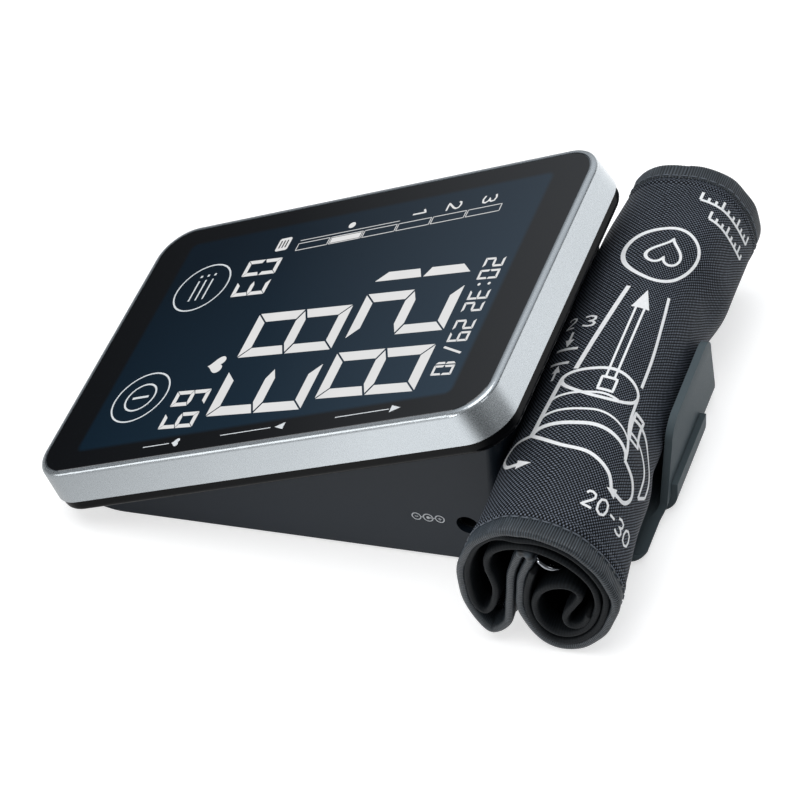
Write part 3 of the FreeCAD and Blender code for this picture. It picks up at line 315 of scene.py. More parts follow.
def plates(name, outlines, lift, place):
    """Flat outlines as thin solid plates, their faces a lift above a surface."""
    mesh = bpy.data.meshes.new(name)
    points, faces = [], []
    for outline in outlines:
        first, count = len(points), len(outline)
        turn = sum(a[0] * b[1] - b[0] * a[1] for a, b in zip(outline, outline[1:] + outline[:1]))
        outline = outline if turn > 0 else outline[::-1]
        for level in (lift, lift * 0.25):
            points += [place(x, y, level) for x, y in outline]
        faces.append(tuple(range(first, first + count)))
        faces.append(tuple(range(first + 2 * count - 1, first + count - 1, -1)))
        for i in range(count):
            j = (i + 1) % count
            faces.append((first + i, first + count + i, first + count + j, first + j))
    mesh.from_pydata(points, [], faces)
    return new_object(name, mesh)


# The bars a to g that each figure lights, counted as on any seven-segment display.
SEGMENTS = {"0": "abcdef", "1": "bc", "2": "abged", "3": "abgcd", "4": "fgbc", "5": "afgcd",
            "6": "afgedc", "7": "abc", "8": "abcdefg", "9": "abcdfg"}


def figure(value, left, low, wide, tall, bar, lean):
    """The lit bars of one figure, with mitred ends, a hairline gap and a slight slant."""
    gap = bar * 0.11
    mid = low + tall / 2
    top, right = low + tall, left + wide
    shapes = {
        "a": [(left + gap, top), (right - gap, top), (right - bar - gap, top - bar),
              (left + bar + gap, top - bar)],
        "d": [(left + gap, low), (left + bar + gap, low + bar), (right - bar - gap, low + bar),
              (right - gap, low)],
        "g": [(left + 2 * gap, mid), (left + bar + 2 * gap, mid + bar / 2),
              (right - bar - 2 * gap, mid + bar / 2), (right - 2 * gap, mid),
              (right - bar - 2 * gap, mid - bar / 2), (left + bar + 2 * gap, mid - bar / 2)],
        "f": [(left, top - gap), (left + bar, top - bar - gap),
              (left + bar, mid + bar / 2 + gap), (left, mid + gap)],
        "e": [(left, mid - gap), (left + bar, mid - bar / 2 - gap),
              (left + bar, low + bar + gap), (left, low + gap)],
        "b": [(right, top - gap), (right, mid + gap), (right - bar, mid + bar / 2 + gap),
              (right - bar, top - bar - gap)],
        "c": [(right, mid - gap), (right, low + gap), (right - bar, low + bar + gap),
              (right - bar, mid - bar / 2 - gap)],
    }
    return [[(x + (y - low) * lean, y) for x, y in shapes[s]] for s in SEGMENTS[value]]


def disc(x, y, radius, count=28):
    """A round outline."""
    return [(x + radius * math.cos(2 * math.pi * i / count),
             y + radius * math.sin(2 * math.pi * i / count)) for i in range(count)]


def bar_line(x0, y0, x1, y1, width):
    """A straight line drawn as a bar."""
    length = math.hypot(x1 - x0, y1 - y0)
    ax, ay = (y1 - y0) / length * width / 2, (x0 - x1) / length * width / 2
    return [(x0 + ax, y0 + ay), (x1 + ax, y1 + ay), (x1 - ax, y1 - ay), (x0 - ax, y0 - ay)]


def heart(x, y, wide):
    """A small heart, point down."""
    turns = [2 * math.pi * i / 40 for i in range(40)]
    return [(x + wide / 32 * 16 * math.sin(a) ** 3,
             y + wide / 32 * (13 * math.cos(a) - 5 * math.cos(2 * a) - 2 * math.cos(3 * a)
                              - math.cos(4 * a))) for a in turns]


# Each size of figure: height, bar width and slant. Each row: what it shows, its left and low
# corner, its width and its size, in millimetres from the middle of the glass.
upper_size, lower_size = (34.2, 3.5, 0.095), (34.5, 3.5, 0.095)
small_size, clock_size = (12.8, 1.4, 0.09), (6.9, 0.75, 0.12)
readings = [("1", -26.0, 17.4, 17.0, upper_size), ("2", -3.9, 17.4, 17.6, upper_size),
            ("8", 19.1, 17.4, 17.6, upper_size), ("8", -3.9, -20.5, 17.6, lower_size),
            ("3", 19.1, -20.5, 17.6, lower_size), ("6", 24.1, -36.6, 6.0, small_size),
            ("9", 32.9, -36.6, 6.0, small_size), ("0", -29.4, -36.6, 6.6, small_size),
            ("3", -20.4, -36.6, 6.1, small_size)]
readings += [(value, left, 54.8, 3.7, clock_size) for value, left in (
    ("2", -10.2), ("0", -5.4), ("3", 2.5), ("2", 7.2), ("2", 14.0), ("9", 18.6), ("1", 27.0),
    ("0", 31.2))]
segments = [bar for value, left, low, wide, size in readings
            for bar in figure(value, left, low, wide, *size)]
clock_colon = [disc(0.5, 56.6, 0.5, 12), disc(0.8, 60.0, 0.5, 12)]
date_stroke = [bar_line(24.2, 54.9, 27.6, 61.6, 0.7)]
pulse_heart = [heart(15.3, -26.9, 6.6)]
plate_lift = 0.05
figures = plates("display_figures", segments + clock_colon + date_stroke + pulse_heart,
                 plate_lift, on_glass)

# A display segment is white with no grain of its own, and a slight fall-off keeps it from looking
# cut out.
segment_light, tree, surface, place = start("lit_segment")
cloud = add(tree, "ShaderNodeTexNoise", {"Vector": place, "Scale": 90.0})
tone = add(tree, "ShaderNodeMix", {"Factor": cloud, 6: linear("#e6e6e6"), 7: linear("#f3f2f1")},
           data_type="RGBA")
finish = add(tree, "ShaderNodeBsdfPrincipled", {"Base Color": linear("#303234"), "Roughness": 0.08,
                                                "IOR": 1.52, "Emission Color": tone,
                                                "Emission Strength": 0.85})
tree.links.new(finish.outputs[0], surface)


def seat(piece, material, body):
    """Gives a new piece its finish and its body."""
    piece.data.materials.clear()
    piece.data.materials.append(material)
    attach(piece, body)
    return piece


seat(figures, segment_light, "base")


# ---- Lit scale and icons, printed touch rings ----
# A six-step scale and small icons that glow like the figures, and ceramic ink fired on the glass:
# two round touch areas and the marks down the margin. The touch areas have no travel, and a ring
# shows where the finger goes.

def ribbon(name, lines, lift, place, step=0.7):
    """Lines of given widths as flat strips that follow a surface, each end cut square. A pair of
    widths tapers the line."""
    points, faces = [], []
    for line, width in lines:
        closed = line[0] == line[-1]
        dense = []
        for (x0, y0), (x1, y1) in zip(line, line[1:]):
            count = max(1, math.ceil(math.hypot(x1 - x0, y1 - y0) / step))
            dense += [(x0 + (x1 - x0) * i / count, y0 + (y1 - y0) * i / count)
                      for i in range(count)]
        if not closed:
            dense.append(line[-1])
        last = len(dense) - 1
        wide = width if isinstance(width, tuple) else (width, width)
        strips = max(1, math.ceil(max(wide) / step))
        first = len(points)
        for i, (x, y) in enumerate(dense):
            before = dense[(i - 1) % len(dense)] if closed or i else dense[0]
            after = dense[(i + 1) % len(dense)] if closed or i < last else dense[last]
            dx, dy = after[0] - before[0], after[1] - before[1]
            length = math.hypot(dx, dy) or 1.0
            half = (wide[0] + (wide[1] - wide[0]) * i / max(1, last)) / 2
            for k in range(strips + 1):
                off = half * (2 * k / strips - 1)
                points.append(place(x + dy / length * off, y - dx / length * off, lift))
        row = strips + 1
        for i in range(len(dense) if closed else last):
            j = (i + 1) % len(dense)
            for k in range(strips):
                a, b = first + i * row + k, first + j * row + k
                faces.append((a, a + 1, b + 1, b))
    mesh = bpy.data.meshes.new(name)
    mesh.from_pydata(points, [], faces)
    return new_object(name, mesh)


def closed_line(outline):
    """An outline as a line that ends where it starts."""
    return outline + outline[:1]


def ring(x, y, radius, count=64):
    """A closed round line."""
    return closed_line(disc(x, y, radius, count))


def frame_line(x0, y0, x1, y1):
    """A closed rectangular line."""
    return closed_line([(x0, y0), (x1, y0), (x1, y1), (x0, y1)])


# Strokes of the printed numerals, one unit wide and 1.4 tall.
NUMERALS = {
    "0": [[(0.5, 0), (0.12, 0.2), (0, 0.7), (0.12, 1.2), (0.5, 1.4), (0.88, 1.2), (1, 0.7),
           (0.88, 0.2), (0.5, 0)]],
    "1": [[(0.15, 1.1), (0.6, 1.4), (0.6, 0)]],
    "2": [[(0.05, 1.1), (0.2, 1.33), (0.5, 1.4), (0.85, 1.28), (0.93, 1.0), (0.75, 0.7),
           (0.03, 0.0), (1.0, 0.0)]],
    "3": [[(0.05, 1.25), (0.45, 1.4), (0.85, 1.28), (0.9, 0.98), (0.72, 0.76), (0.4, 0.72),
           (0.75, 0.66), (0.97, 0.4), (0.85, 0.1), (0.45, 0.0), (0.02, 0.15)]],
}


def numeral(value, x, y, size):
    """The lines of a plain printed numeral."""
    return [[(x + px * size, y + py * size) for px, py in line] for line in NUMERALS[value]]


ink_lift = 0.04
scale_low, scale_pitch = -20.2, 11.95
scale_lines = []
for index in range(6):
    low = scale_low + index * scale_pitch
    scale_lines.append((frame_line(-33.2, low, -30.3, low + 11.3), 0.28))
scale_lines.append(([(-34.5, scale_low), (-34.5, 15.3)], 0.26))
for value, low in (("1", 19.2), ("2", 31.2), ("3", 43.2)):
    scale_lines += [(line, 0.62) for line in numeral(value, -38.1, low, 3.2)]
scale_print = ribbon("scale_print", scale_lines, ink_lift, on_glass)

# One lit step of the scale, a dot beside it, and the box of the memory mark with cut corners.
icons = plates("display_icons", [
    [(-32.8, -7.9), (-30.7, -7.9), (-30.7, 2.6), (-32.8, 2.6)],
    disc(-37.0, -2.6, 1.2, 20),
    [(-36.6, -28.6), (-32.2, -28.6), (-31.7, -28.1), (-31.7, -24.6), (-32.2, -24.1),
     (-36.6, -24.1), (-37.1, -24.6), (-37.1, -28.1)]], plate_lift, on_glass)
box_marks = ribbon("memory_box_marks", [([(-36.0, low), (-32.8, low)], 0.5)
                                        for low in (-25.2, -26.35, -27.5)], 0.08, on_glass)

# Memory ring on the left with a list in it; start ring on the right with a power sign in it.
memory_x, start_x, touch_y, touch_radius = -21.3, 23.9, -50.6, 9.65
touch_lines = [(ring(memory_x, touch_y, touch_radius), 0.55),
               (ring(start_x, touch_y, touch_radius), 0.55),
               (ring(start_x, touch_y, 5.2), 0.62),
               ([(start_x, touch_y - 3.0), (start_x, touch_y + 3.0)], 0.85)]
for low in (-53.2, touch_y, -48.0):
    touch_lines.append(([(-24.6, low), (-16.0, low)], 0.6))
    touch_lines.append(([(-26.9, low), (-26.0, low)], 0.8))
touch_rings = ribbon("touch_rings", touch_lines, ink_lift, on_glass)

# Lines down the right margin, the upper one with an arrow up and the next with an arrow down.
margin_x = 45.6
side_lines = []
for low, high, way in ((28.4, 46.0, 1), (-10.8, 6.6, -1), (-38.4, -29.0, 0)):
    side_lines.append(([(margin_x, low), (margin_x, high)], 0.32))
    if way:
        foot = high + 2.6 - way * 1.4
        side_lines.append(([(margin_x, foot + way * 2.6), (margin_x, foot - way * 0.6)],
                           (0.0, 2.6)))
side_marks = ribbon("side_marks", side_lines, ink_lift, on_glass)
side_icon = plates("side_heart", [heart(margin_x, -26.6, 3.0)], plate_lift, on_glass)

# Ceramic ink is dull white and a touch grey, and its edge is crisp.
glass_ink = moulded("ceramic_ink_white", "#cfd3d6", "#dde0e2", 0.35, 0.0004, 0.000004)
dark_ink = moulded("ceramic_ink_dark", "#101418", "#151a1f", 0.35, 0.0004, 0.000004)
for piece in (scale_print, icons):
    seat(piece, segment_light, "base")
seat(box_marks, dark_ink, "base")
for piece in (touch_rings, side_marks, side_icon):
    seat(piece, glass_ink, "base")


# ---- Polarity mark by the power jack ----
# Pad-printed symbol on the side wall: centre-positive, three rings on a line, with no letters.

wall_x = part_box("base_shell")[1].x


def on_wall(along, up, lift=0.0):
    """A point on the right wall, from millimetres behind the glass middle and above the table."""
    return Vector((wall_x + lift / 1000, glass_middle.y + along / 1000, up / 1000))


mark_up = 16.2
polarity_lines = [(ring(along, mark_up, radius, 32), 0.32)
                  for along, radius in ((41.7, 1.25), (45.1, 1.35), (48.5, 1.25))]
polarity_lines += [([(start_at, mark_up), (end_at, mark_up)], width)
                   for start_at, end_at, width in ((42.95, 43.75, 0.32), (45.1, 47.25, 0.32),
                                                   (41.2, 42.2, 0.28), (48.0, 49.0, 0.28))]
polarity_lines.append(([(48.5, mark_up - 0.5), (48.5, mark_up + 0.5)], 0.28))
polarity = ribbon("polarity_mark", polarity_lines, 0.03, on_wall)
polarity_dot = plates("polarity_dot", [disc(45.1, mark_up, 0.5, 16)], 0.04, on_wall)
# Pad print is a thin film of grey-white ink that takes on the wall's satin.
pad_ink = moulded("pad_print_ink", "#b9bdc2", "#c6cace", 0.5, 0.0003, 0.000005)
seat(polarity, pad_ink, "base")
seat(polarity_dot, pad_ink, "base")


# ---- Cuff holder ----
# One plate of black glass-filled nylon, bent up behind the cuff, with edges broken by the mould.
# Its outline is copied from the solid part and its sharp edges are rounded by 1.2 mm.

def settled_mesh(piece):
    """A plain mesh of what a piece's modifiers make of it."""
    return bpy.data.meshes.new_from_object(
        piece.evaluated_get(bpy.context.evaluated_depsgraph_get()))


def softened(node, width, name):
    """A copy of a CAD node with its flats joined up and its sharp edges rounded."""
    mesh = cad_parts[node].data.copy()
    mesh.name = name
    shape = bmesh.new()
    shape.from_mesh(mesh)
    bmesh.ops.remove_doubles(shape, verts=shape.verts, dist=1e-6)
    bmesh.ops.dissolve_limit(shape, angle_limit=math.radians(2), verts=shape.verts,
                             edges=shape.edges)
    shape.to_mesh(mesh)
    shape.free()
    piece = new_object(name, mesh)
    rounding = piece.modifiers.new("edge rounding", "BEVEL")
    rounding.width = width
    rounding.segments = 3
    rounding.limit_method = "ANGLE"
    rounding.angle_limit = math.radians(40)
    done = settled_mesh(piece)
    piece.modifiers.clear()
    piece.data = done
    done.shade_smooth()
    done.set_sharp_from_angle(angle=math.radians(35))
    return piece


edge_radius = 0.0012
holder = softened("cuff_holder", edge_radius, "holder_plate")
# Filled nylon has a tight dull satin skin: one even dark grey from edge to edge.
filled_nylon = moulded("black_filled_nylon", "#4a5459", "#555f63", 0.5, 0.0003, 0.00001, 0.06)
dress(filled_nylon, "holder_heel")
seat(holder, filled_nylon, "base")
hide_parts("cuff_holder")


# ---- Cuff cloth ----
# Upper-arm cuff rolled up for storage: plain-weave nylon with a black coating, over a bladder.
# The outer turn folds down into a cleft, and an inner turn winds into a coil in the right lobe.

# All in millimetres. Base wall and holder rise side by side with one lean, from foot_up.
wall_foot, holder_foot, foot_up = 64.2, 101.1, 1.3
wall_lean = math.tan(math.radians(8.7))
upright_middle, upright_half = -1.5, 22.6
# The free roll's extent behind the glass middle and above the table, where it is widest, the
# cuff's half width, and where the near end begins to swell to its free shape.
roll_left, roll_right, roll_low, roll_high = 64.0, 108.3, 1.0, 45.5
roll_middle, widest_up = 84.0, 22.3
cuff_half, swell_start = 70.5, 42.0
# How the holder changes it: height of its floor, gap to its walls, the bulge beside its upright,
# how far the shoulder leans and rises, and how the far end fills out.
floor_up, wall_gap, side_bulge = 3.9, 0.45, 2.4
most_lean, shoulder_rise, far_push = 5.2, 2.0, Vector((1.6, -1.5))
# Width of the tape at each end, and how far it stands out from the cloth.
tape_width, tape_swell = 5.8, 0.22

# Lines of the roll's layers at its free end: millimetres behind the glass and up.
OUTER_TURN = [(85.4, 45.5), (90.8, 45.0), (95.8, 43.1), (100.6, 39.7), (104.6, 34.8),
              (107.2, 28.8), (108.3, 23.6), (107.4, 18.6), (105.2, 13.6), (102.0, 8.5),
              (97.5, 3.9), (93.1, 1.7), (88.6, 1.0), (84.9, 2.6), (81.8, 6.6), (79.9, 11.2),
              (79.3, 15.8), (80.0, 21.0), (81.5, 26.6), (83.6, 31.8), (85.3, 35.0),
              (84.8, 35.9), (83.1, 33.0), (81.1, 28.0), (79.7, 22.8), (78.7, 17.6),
              (77.5, 12.8), (75.8, 7.7), (72.6, 4.4), (69.1, 4.0), (65.8, 9.0), (64.2, 15.6),
              (64.0, 22.3), (65.2, 28.6), (67.6, 34.0), (71.2, 39.0), (76.0, 42.9),
              (80.6, 45.0)]
LINER_TURN = [(84.2, 41.9), (89.0, 42.2), (94.0, 41.0), (98.8, 37.9), (102.4, 33.2),
              (104.6, 28.0), (105.1, 23.4), (103.8, 18.0), (101.2, 12.2), (97.0, 7.2),
              (92.6, 4.5), (88.6, 4.1), (85.2, 6.2), (83.0, 10.4), (82.2, 15.4), (82.8, 20.6),
              (84.4, 25.8), (86.4, 30.4)]
COIL_TURN = [(76.6, 41.2), (72.4, 37.6), (69.4, 32.4), (67.6, 27.2), (66.9, 22.0), (66.9, 17.0),
             (67.7, 13.4), (69.6, 11.9), (71.7, 13.9), (73.5, 17.7), (74.4, 21.7), (74.2, 25.6),
             (73.7, 28.8), (74.0, 32.2), (75.6, 35.4), (78.6, 37.8), (82.4, 39.2), (87.2, 39.4),
             (92.0, 37.9), (96.2, 35.4), (99.8, 31.8), (102.0, 27.8), (102.6, 23.8),
             (102.2, 19.6), (100.4, 15.0), (97.8, 11.0), (94.8, 8.4), (91.6, 7.1), (88.8, 7.2),
             (86.4, 8.8), (84.8, 11.6), (84.3, 15.2), (84.8, 18.8), (86.7, 22.4), (89.6, 24.9),
             (92.6, 26.1), (95.4, 26.2), (97.4, 25.0), (97.9, 22.8), (96.0, 19.8), (93.8, 16.8),
             (92.3, 13.8), (92.8, 11.3), (95.0, 11.0), (97.6, 12.9), (99.2, 16.0)]
# Each layer: its line, whether the line is closed, and the cloth's thickness out and in from it.
outer_layer = (OUTER_TURN, True, 0.0, 1.8)
inner_layer = (LINER_TURN[::-1] + [(80.2, 42.3)] + COIL_TURN, False, 0.8, 0.8)


def smooth_line(points, closed, spacing):
    """A smooth line through given points, divided evenly."""
    count = len(points)
    dense = []
    spans = count if closed else count - 1
    for i in range(spans):
        p0 = Vector(points[(i - 1) % count] if closed or i else points[0])
        p1, p2 = Vector(points[i]), Vector(points[(i + 1) % count])
        p3 = Vector(points[(i + 2) % count] if closed or i + 2 < count else points[-1])
        for k in range(12):
            t = k / 12
            dense.append(0.5 * (2 * p1 + (p2 - p0) * t + (2 * p0 - 5 * p1 + 4 * p2 - p3) * t * t
                                + (3 * p1 - p0 - 3 * p2 + p3) * t ** 3))
    dense.append(dense[0] if closed else Vector(points[-1]))
    reach = [0.0]
    for a, b in zip(dense, dense[1:]):
        reach.append(reach[-1] + (b - a).length)
    pieces = max(4, round(reach[-1] / spacing))
    even, at = [], 0
    for i in range(pieces + (0 if closed else 1)):
        goal = reach[-1] * i / pieces
        while at < len(reach) - 2 and reach[at + 1] < goal:
            at += 1
        share = (goal - reach[at]) / max(1e-9, reach[at + 1] - reach[at])
        even.append(dense[at].lerp(dense[at + 1], min(1.0, share)))
    return even, reach[-1]


def ease(value):
    """A soft step from zero to one."""
    value = min(1.0, max(0.0, value))
    return value * value * (3 - 2 * value)


def held(y, z):
    """Where a point of the free end goes in the stretch between base wall and holder.
    The turn's shoulder leans on the base wall, close under the display's lip, and every layer
    leans as far as the outer one has room, so they stay in order."""
    up = floor_up + (z - roll_low) * (roll_high - floor_up) / (roll_high - roll_low)
    rise = wall_lean * (up - foot_up)
    left, right = wall_foot + rise + wall_gap, holder_foot + rise - wall_gap
    across = left + (y - roll_left) / (roll_right - roll_left) * (right - left)
    # Above its widest height the free roll curves away from the wall, which leaves this room.
    room = max(0.0, 0.022 * max(0.0, z - widest_up) ** 2 - 0.3)
    lean = min(room, most_lean * ease((z - 22) / 14) * ease((88 - y) / 14))
    across = max(left + 0.15, across - lean)
    up += shoulder_rise * ease((z - 32) / 10)
    return Vector((max(across, wall_foot + wall_lean * (up - foot_up) + 0.6), up))


def settled(point, x):
    """The point at a station along the cuff: held in the middle, bulging beside the holder's
    upright and swelling to its free shape at the near end."""
    spot = held(point[0], point[1])
    beside = ease((abs(x - upright_middle) - upright_half - 2) / 14)
    bulge = ease((spot.x - roll_middle) / 18) * ease((spot.y - 4) / 12)
    far = ease((-x - swell_start) / (cuff_half - swell_start)) * ease((spot.y - 32.0) / 9.0)
    spot += Vector((side_bulge * beside * bulge, 0.0))
    spot += Vector((far_push.x * ease((roll_middle - spot.x) / 14), far_push.y)) * far
    return spot.lerp(Vector(point), ease((x - swell_start) / (cuff_half - swell_start)))


def soft_push(s, x):
    """Slow hollows of hand-rolled cloth, and the sunk seam and small fold beside the tape."""
    # Hollows follow each other about every 20 mm round the roll and every 55 mm along it.
    crease = 0.16 * math.sin(s * 0.31 + x * 0.05) * math.sin(x * 0.115 + 1.3)
    pull = 0.1 * math.exp(-((cuff_half - abs(x)) / 9.0) ** 2) * math.sin(s * 0.52 + 0.6)
    beside = cuff_half - tape_width - abs(x)
    seam = 0.28 * math.exp(-((beside - 1.5) / 0.6) ** 2) - 0.36 * math.exp(-(beside / 0.6) ** 2)
    fold = -0.25 * math.exp(-((beside - 2.8) / 0.4) ** 2)
    return crease + pull + seam + fold - 0.12


def outward(spots, i, closed):
    """The direction straight out of a layer at one point of its line."""
    count = len(spots)
    before = spots[(i - 1) % count] if closed or i else spots[0]
    after = spots[(i + 1) % count] if closed or i < count - 1 else spots[-1]
    along = (after - before).normalized()
    return Vector((-along.y, along.x))


def section(line, closed, x, thick_out, thick_in, soft, step):
    """Outer and inner points of a layer at a station, its line divided every step."""
    spots = [settled(p, x) for p in line]
    outer, inner = [], []
    for i, spot in enumerate(spots):
        normal = outward(spots, i, closed)
        push = soft_push(i * step, x) if soft else 0.0
        outer.append(spot + normal * (thick_out + push))
        inner.append(spot - normal * (thick_in - push))
    return outer, inner


def cloth_object(name, shape, sharp=None):
    """A finished shape as a smooth object, with edges kept sharp past an angle in degrees."""
    bmesh.ops.recalc_face_normals(shape, faces=shape.faces)
    mesh = bpy.data.meshes.new(name)
    shape.to_mesh(mesh)
    shape.free()
    mesh.shade_smooth()
    if sharp:
        mesh.set_sharp_from_angle(angle=math.radians(sharp))
    return new_object(name, mesh)


# The cloth ends inside the tape, and its points lie closer over the last 9 mm, by the seam.
cloth_spacing = 0.8
cloth_end, seam_zone = 67.0, 9.0


def cloth_rows(step, seam_step):
    """Stations along the cuff where a layer has points, closer together by the seams."""
    plain = cloth_end - seam_zone
    count = round(2 * plain / step)
    middle = [-plain + 2 * plain * j / count for j in range(count + 1)]
    count = round(seam_zone / seam_step)
    near = [plain + seam_zone * (j + 1) / count for j in range(count)]
    return [-x for x in near[::-1]] + middle + near


def as_point(x, spot):
    """A point of the cuff, from millimetres along it and a spot across it."""
    return Vector((x / 1000, glass_middle.y + spot.x / 1000, spot.y / 1000))


def cloth_layer(name, points, closed, thick_out, thick_in, stations):
    """A layer of cloth of even thickness along the whole cuff, with its own cloth map."""
    line, length = smooth_line(points, closed, cloth_spacing)
    count, rows = len(line), len(stations)
    shape = bmesh.new()
    cloth = shape.loops.layers.uv.new("cloth")
    outer_rows, inner_rows = [], []
    for x in stations:
        outer, inner = section(line, closed, x, thick_out, thick_in, closed, cloth_spacing)
        outer_rows.append([shape.verts.new(as_point(x, p)) for p in outer])
        inner_rows.append([shape.verts.new(as_point(x, p)) for p in inner])

    def face(corners, spots):
        made = shape.faces.new(corners)
        for loop, (u, v) in zip(made.loops, spots):
            loop[cloth].uv = (u * length / count / 1000, v / 1000)

    steps = [(i, (i + 1) % count) for i in range(count if closed else count - 1)]
    for j, (x0, x1) in enumerate(zip(stations, stations[1:])):
        out_0, out_1, in_0, in_1 = *outer_rows[j:j + 2], *inner_rows[j:j + 2]
        for i, n in steps:
            face((out_0[i], out_0[n], out_1[n], out_1[i]),
                 ((i, x0), (i + 1, x0), (i + 1, x1), (i, x1)))
            face((in_0[i], in_1[i], in_1[n], in_0[n]),
                 ((i, x0), (i, x1), (i + 1, x1), (i + 1, x0)))
    # The two ends across the cuff, and an open layer's two edges along it.
    for j, way in ((0, 1), (rows - 1, -1)):
        out, back = outer_rows[j], inner_rows[j]
        for i, n in steps:
            face((out[i], back[i], back[n], out[n])[::way],
                 ((i, 0), (i, 1), (i + 1, 1), (i + 1, 0)))
    for i, way in () if closed else ((0, -1), (count - 1, 1)):
        for j, (x0, x1) in enumerate(zip(stations, stations[1:])):
            face((outer_rows[j][i], inner_rows[j][i], inner_rows[j + 1][i],
                  outer_rows[j + 1][i])[::way], ((0, x0), (1, x0), (1, x1), (0, x1)))
    return cloth_object(name, shape, 50)


outer_cloth = cloth_layer("cuff_outer_cloth", *outer_layer,
                          cloth_rows(step=1.5, seam_step=0.5))
inner_cloth = cloth_layer("cuff_inner_cloth", *inner_layer,
                          cloth_rows(step=4.0, seam_step=2.0))

# Coated nylon in plain weave: threads 0.53 mm apart both ways, drawn as coarse as they show.
# Their crowns are painted a cold grey in slanting rows, a painted highlight, and the coating
# between them is black.
thread_spacing = 0.00053
nylon_weave, tree, surface, place = start("coated_nylon_weave")
lay = add(tree, "ShaderNodeUVMap", uv_map="cloth")
drift = add(tree, "ShaderNodeTexNoise", {"Vector": lay, "Scale": 1 / 0.012, "Detail": 2.0})
bent = add(tree, "ShaderNodeVectorMath", {0: drift.outputs["Color"], 1: (0.0006, 0.0006, 0.0)},
           operation="MULTIPLY")
laid = add(tree, "ShaderNodeVectorMath", {0: lay, 1: bent}, operation="ADD")
phase = add(tree, "ShaderNodeVectorMath", {0: laid, 3: math.pi / thread_spacing}, operation="SCALE")
waves = add(tree, "ShaderNodeVectorMath", {0: phase}, operation="SINE")
threads = add(tree, "ShaderNodeSeparateXYZ", {"Vector": waves})
weave = add(tree, "ShaderNodeMath", {0: threads.outputs["X"], 1: threads.outputs["Y"]},
            operation="MULTIPLY")
fluff = add(tree, "ShaderNodeTexNoise", {"Vector": lay, "Scale": 1 / 0.0009, "Detail": 2.0})
painted_crown_highlight = add(tree, "ShaderNodeMath", {0: weave, 1: fluff}, operation="MULTIPLY")
# The lighter thread tone on the crowns is a painted highlight.
thread = add(tree, "ShaderNodeMapRange", {"Value": painted_crown_highlight, "From Min": -0.02, "From Max": 0.42})
shade = add(tree, "ShaderNodeTexNoise", {"Vector": lay, "Scale": 45.0, "Detail": 3.0})
worn = add(tree, "ShaderNodeMapRange", {"Value": shade, "To Min": 0.7, "To Max": 1.25})
tone = add(tree, "ShaderNodeMix", {"Factor": thread, 6: linear("#050608"), 7: linear("#737b88")},
           data_type="RGBA")
# The painted crown highlight, varied by a slow random tone.
dyed = add(tree, "ShaderNodeVectorMath", {0: tone, 1: worn}, operation="MULTIPLY")
mound = add(tree, "ShaderNodeMath", {0: weave}, operation="ABSOLUTE")
relief = add(tree, "ShaderNodeBump", {"Height": mound, "Strength": 0.5, "Distance": 0.00012})
finish = add(tree, "ShaderNodeBsdfPrincipled", {"Base Color": dyed, "Roughness": 0.62,
                                                "Specular IOR Level": 0.12, "Normal": relief})
tree.links.new(finish.outputs[0], surface)

# The inner faces are brushed loop pile: dull, nearly black, with a faint fuzz of lighter loops.
loop_pile, tree, surface, place = start("brushed_loop_pile")
lay = add(tree, "ShaderNodeUVMap", uv_map="cloth")
fuzz = add(tree, "ShaderNodeTexNoise", {"Vector": lay, "Scale": 1 / 0.0006, "Detail": 4.0})
tuft = add(tree, "ShaderNodeMapRange", {"Value": fuzz, "From Min": 0.35, "From Max": 0.7})
tone = add(tree, "ShaderNodeMix", {"Factor": tuft, 6: linear("#030405"), 7: linear("#0d0f12")},
           data_type="RGBA")
relief = add(tree, "ShaderNodeBump", {"Height": fuzz, "Strength": 0.6, "Distance": 0.0002})
finish = add(tree, "ShaderNodeBsdfPrincipled", {"Base Color": tone, "Roughness": 0.9,
                                                "Specular IOR Level": 0.05, "Normal": relief})
tree.links.new(finish.outputs[0], surface)

seat(outer_cloth, nylon_weave, "cuff")
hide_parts("cuff_roll")
seat(inner_cloth, loop_pile, "cuff")
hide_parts("cuff_coil", "cuff_bladder", "cuff_core", "cuff_tail_fold")


# ---- Bound ends of the cuff ----
# Ribbed polyester tape folded over each edge and sewn through, a little thicker than the cloth.
# The stitches run in one row beside the tape's edge.

def binding(name, points, closed, thick_out, thick_in, end, step, rib):
    """The tape over one end of a layer: a rounded fold swept along the layer's line, its cross
    ribs four steps apart."""
    line, _ = smooth_line(points, closed, step)
    inner_x, nose = cuff_half - tape_width, cuff_half
    out, back = thick_out + tape_swell, thick_in + tape_swell
    middle, half = (out - back) / 2, (out + back) / 2
    # The fold's outline: its share of the half thickness, and its place along the cuff.
    profile = [(0.92, inner_x), (1.0, inner_x + 0.3), (1.0, nose - 1.4), (0.9, nose - 0.75),
               (0.62, nose - 0.25), (0.0, nose), (-0.62, nose - 0.25), (-0.9, nose - 0.75),
               (-1.0, nose - 1.4), (-1.0, inner_x + 0.3), (-0.92, inner_x)]
    lines = {x: section(line, closed, end * x, 0.0, 0.0, closed, step)[0] for _, x in profile}
    shape = bmesh.new()
    cloth = shape.loops.layers.uv.new("cloth")
    rings, count, sides = [], len(line), len(profile)
    for i in range(count):
        swell = rib * (0.0, 0.7, 1.0, 0.7)[i % 4]
        corners = []
        for share, x in profile:
            out_by = middle + share * (half + swell)
            spot = lines[x][i] + outward(lines[x], i, closed) * out_by
            corners.append(shape.verts.new(as_point(end * x, spot)))
        rings.append(corners)
    for i in range(count if closed else count - 1):
        here, after = rings[i], rings[(i + 1) % count]
        for k in range(sides):
            m = (k + 1) % sides
            made = shape.faces.new((here[k], after[k], after[m], here[m]))
            for loop, (u, v) in zip(made.loops, ((i, k), (i + 1, k), (i + 1, k + 1), (i, k + 1))):
                loop[cloth].uv = (u * step / 1000, v * 0.0008)
    if not closed:
        shape.faces.new(rings[0][::-1])
        shape.faces.new(rings[-1])
    return cloth_object(name, shape)


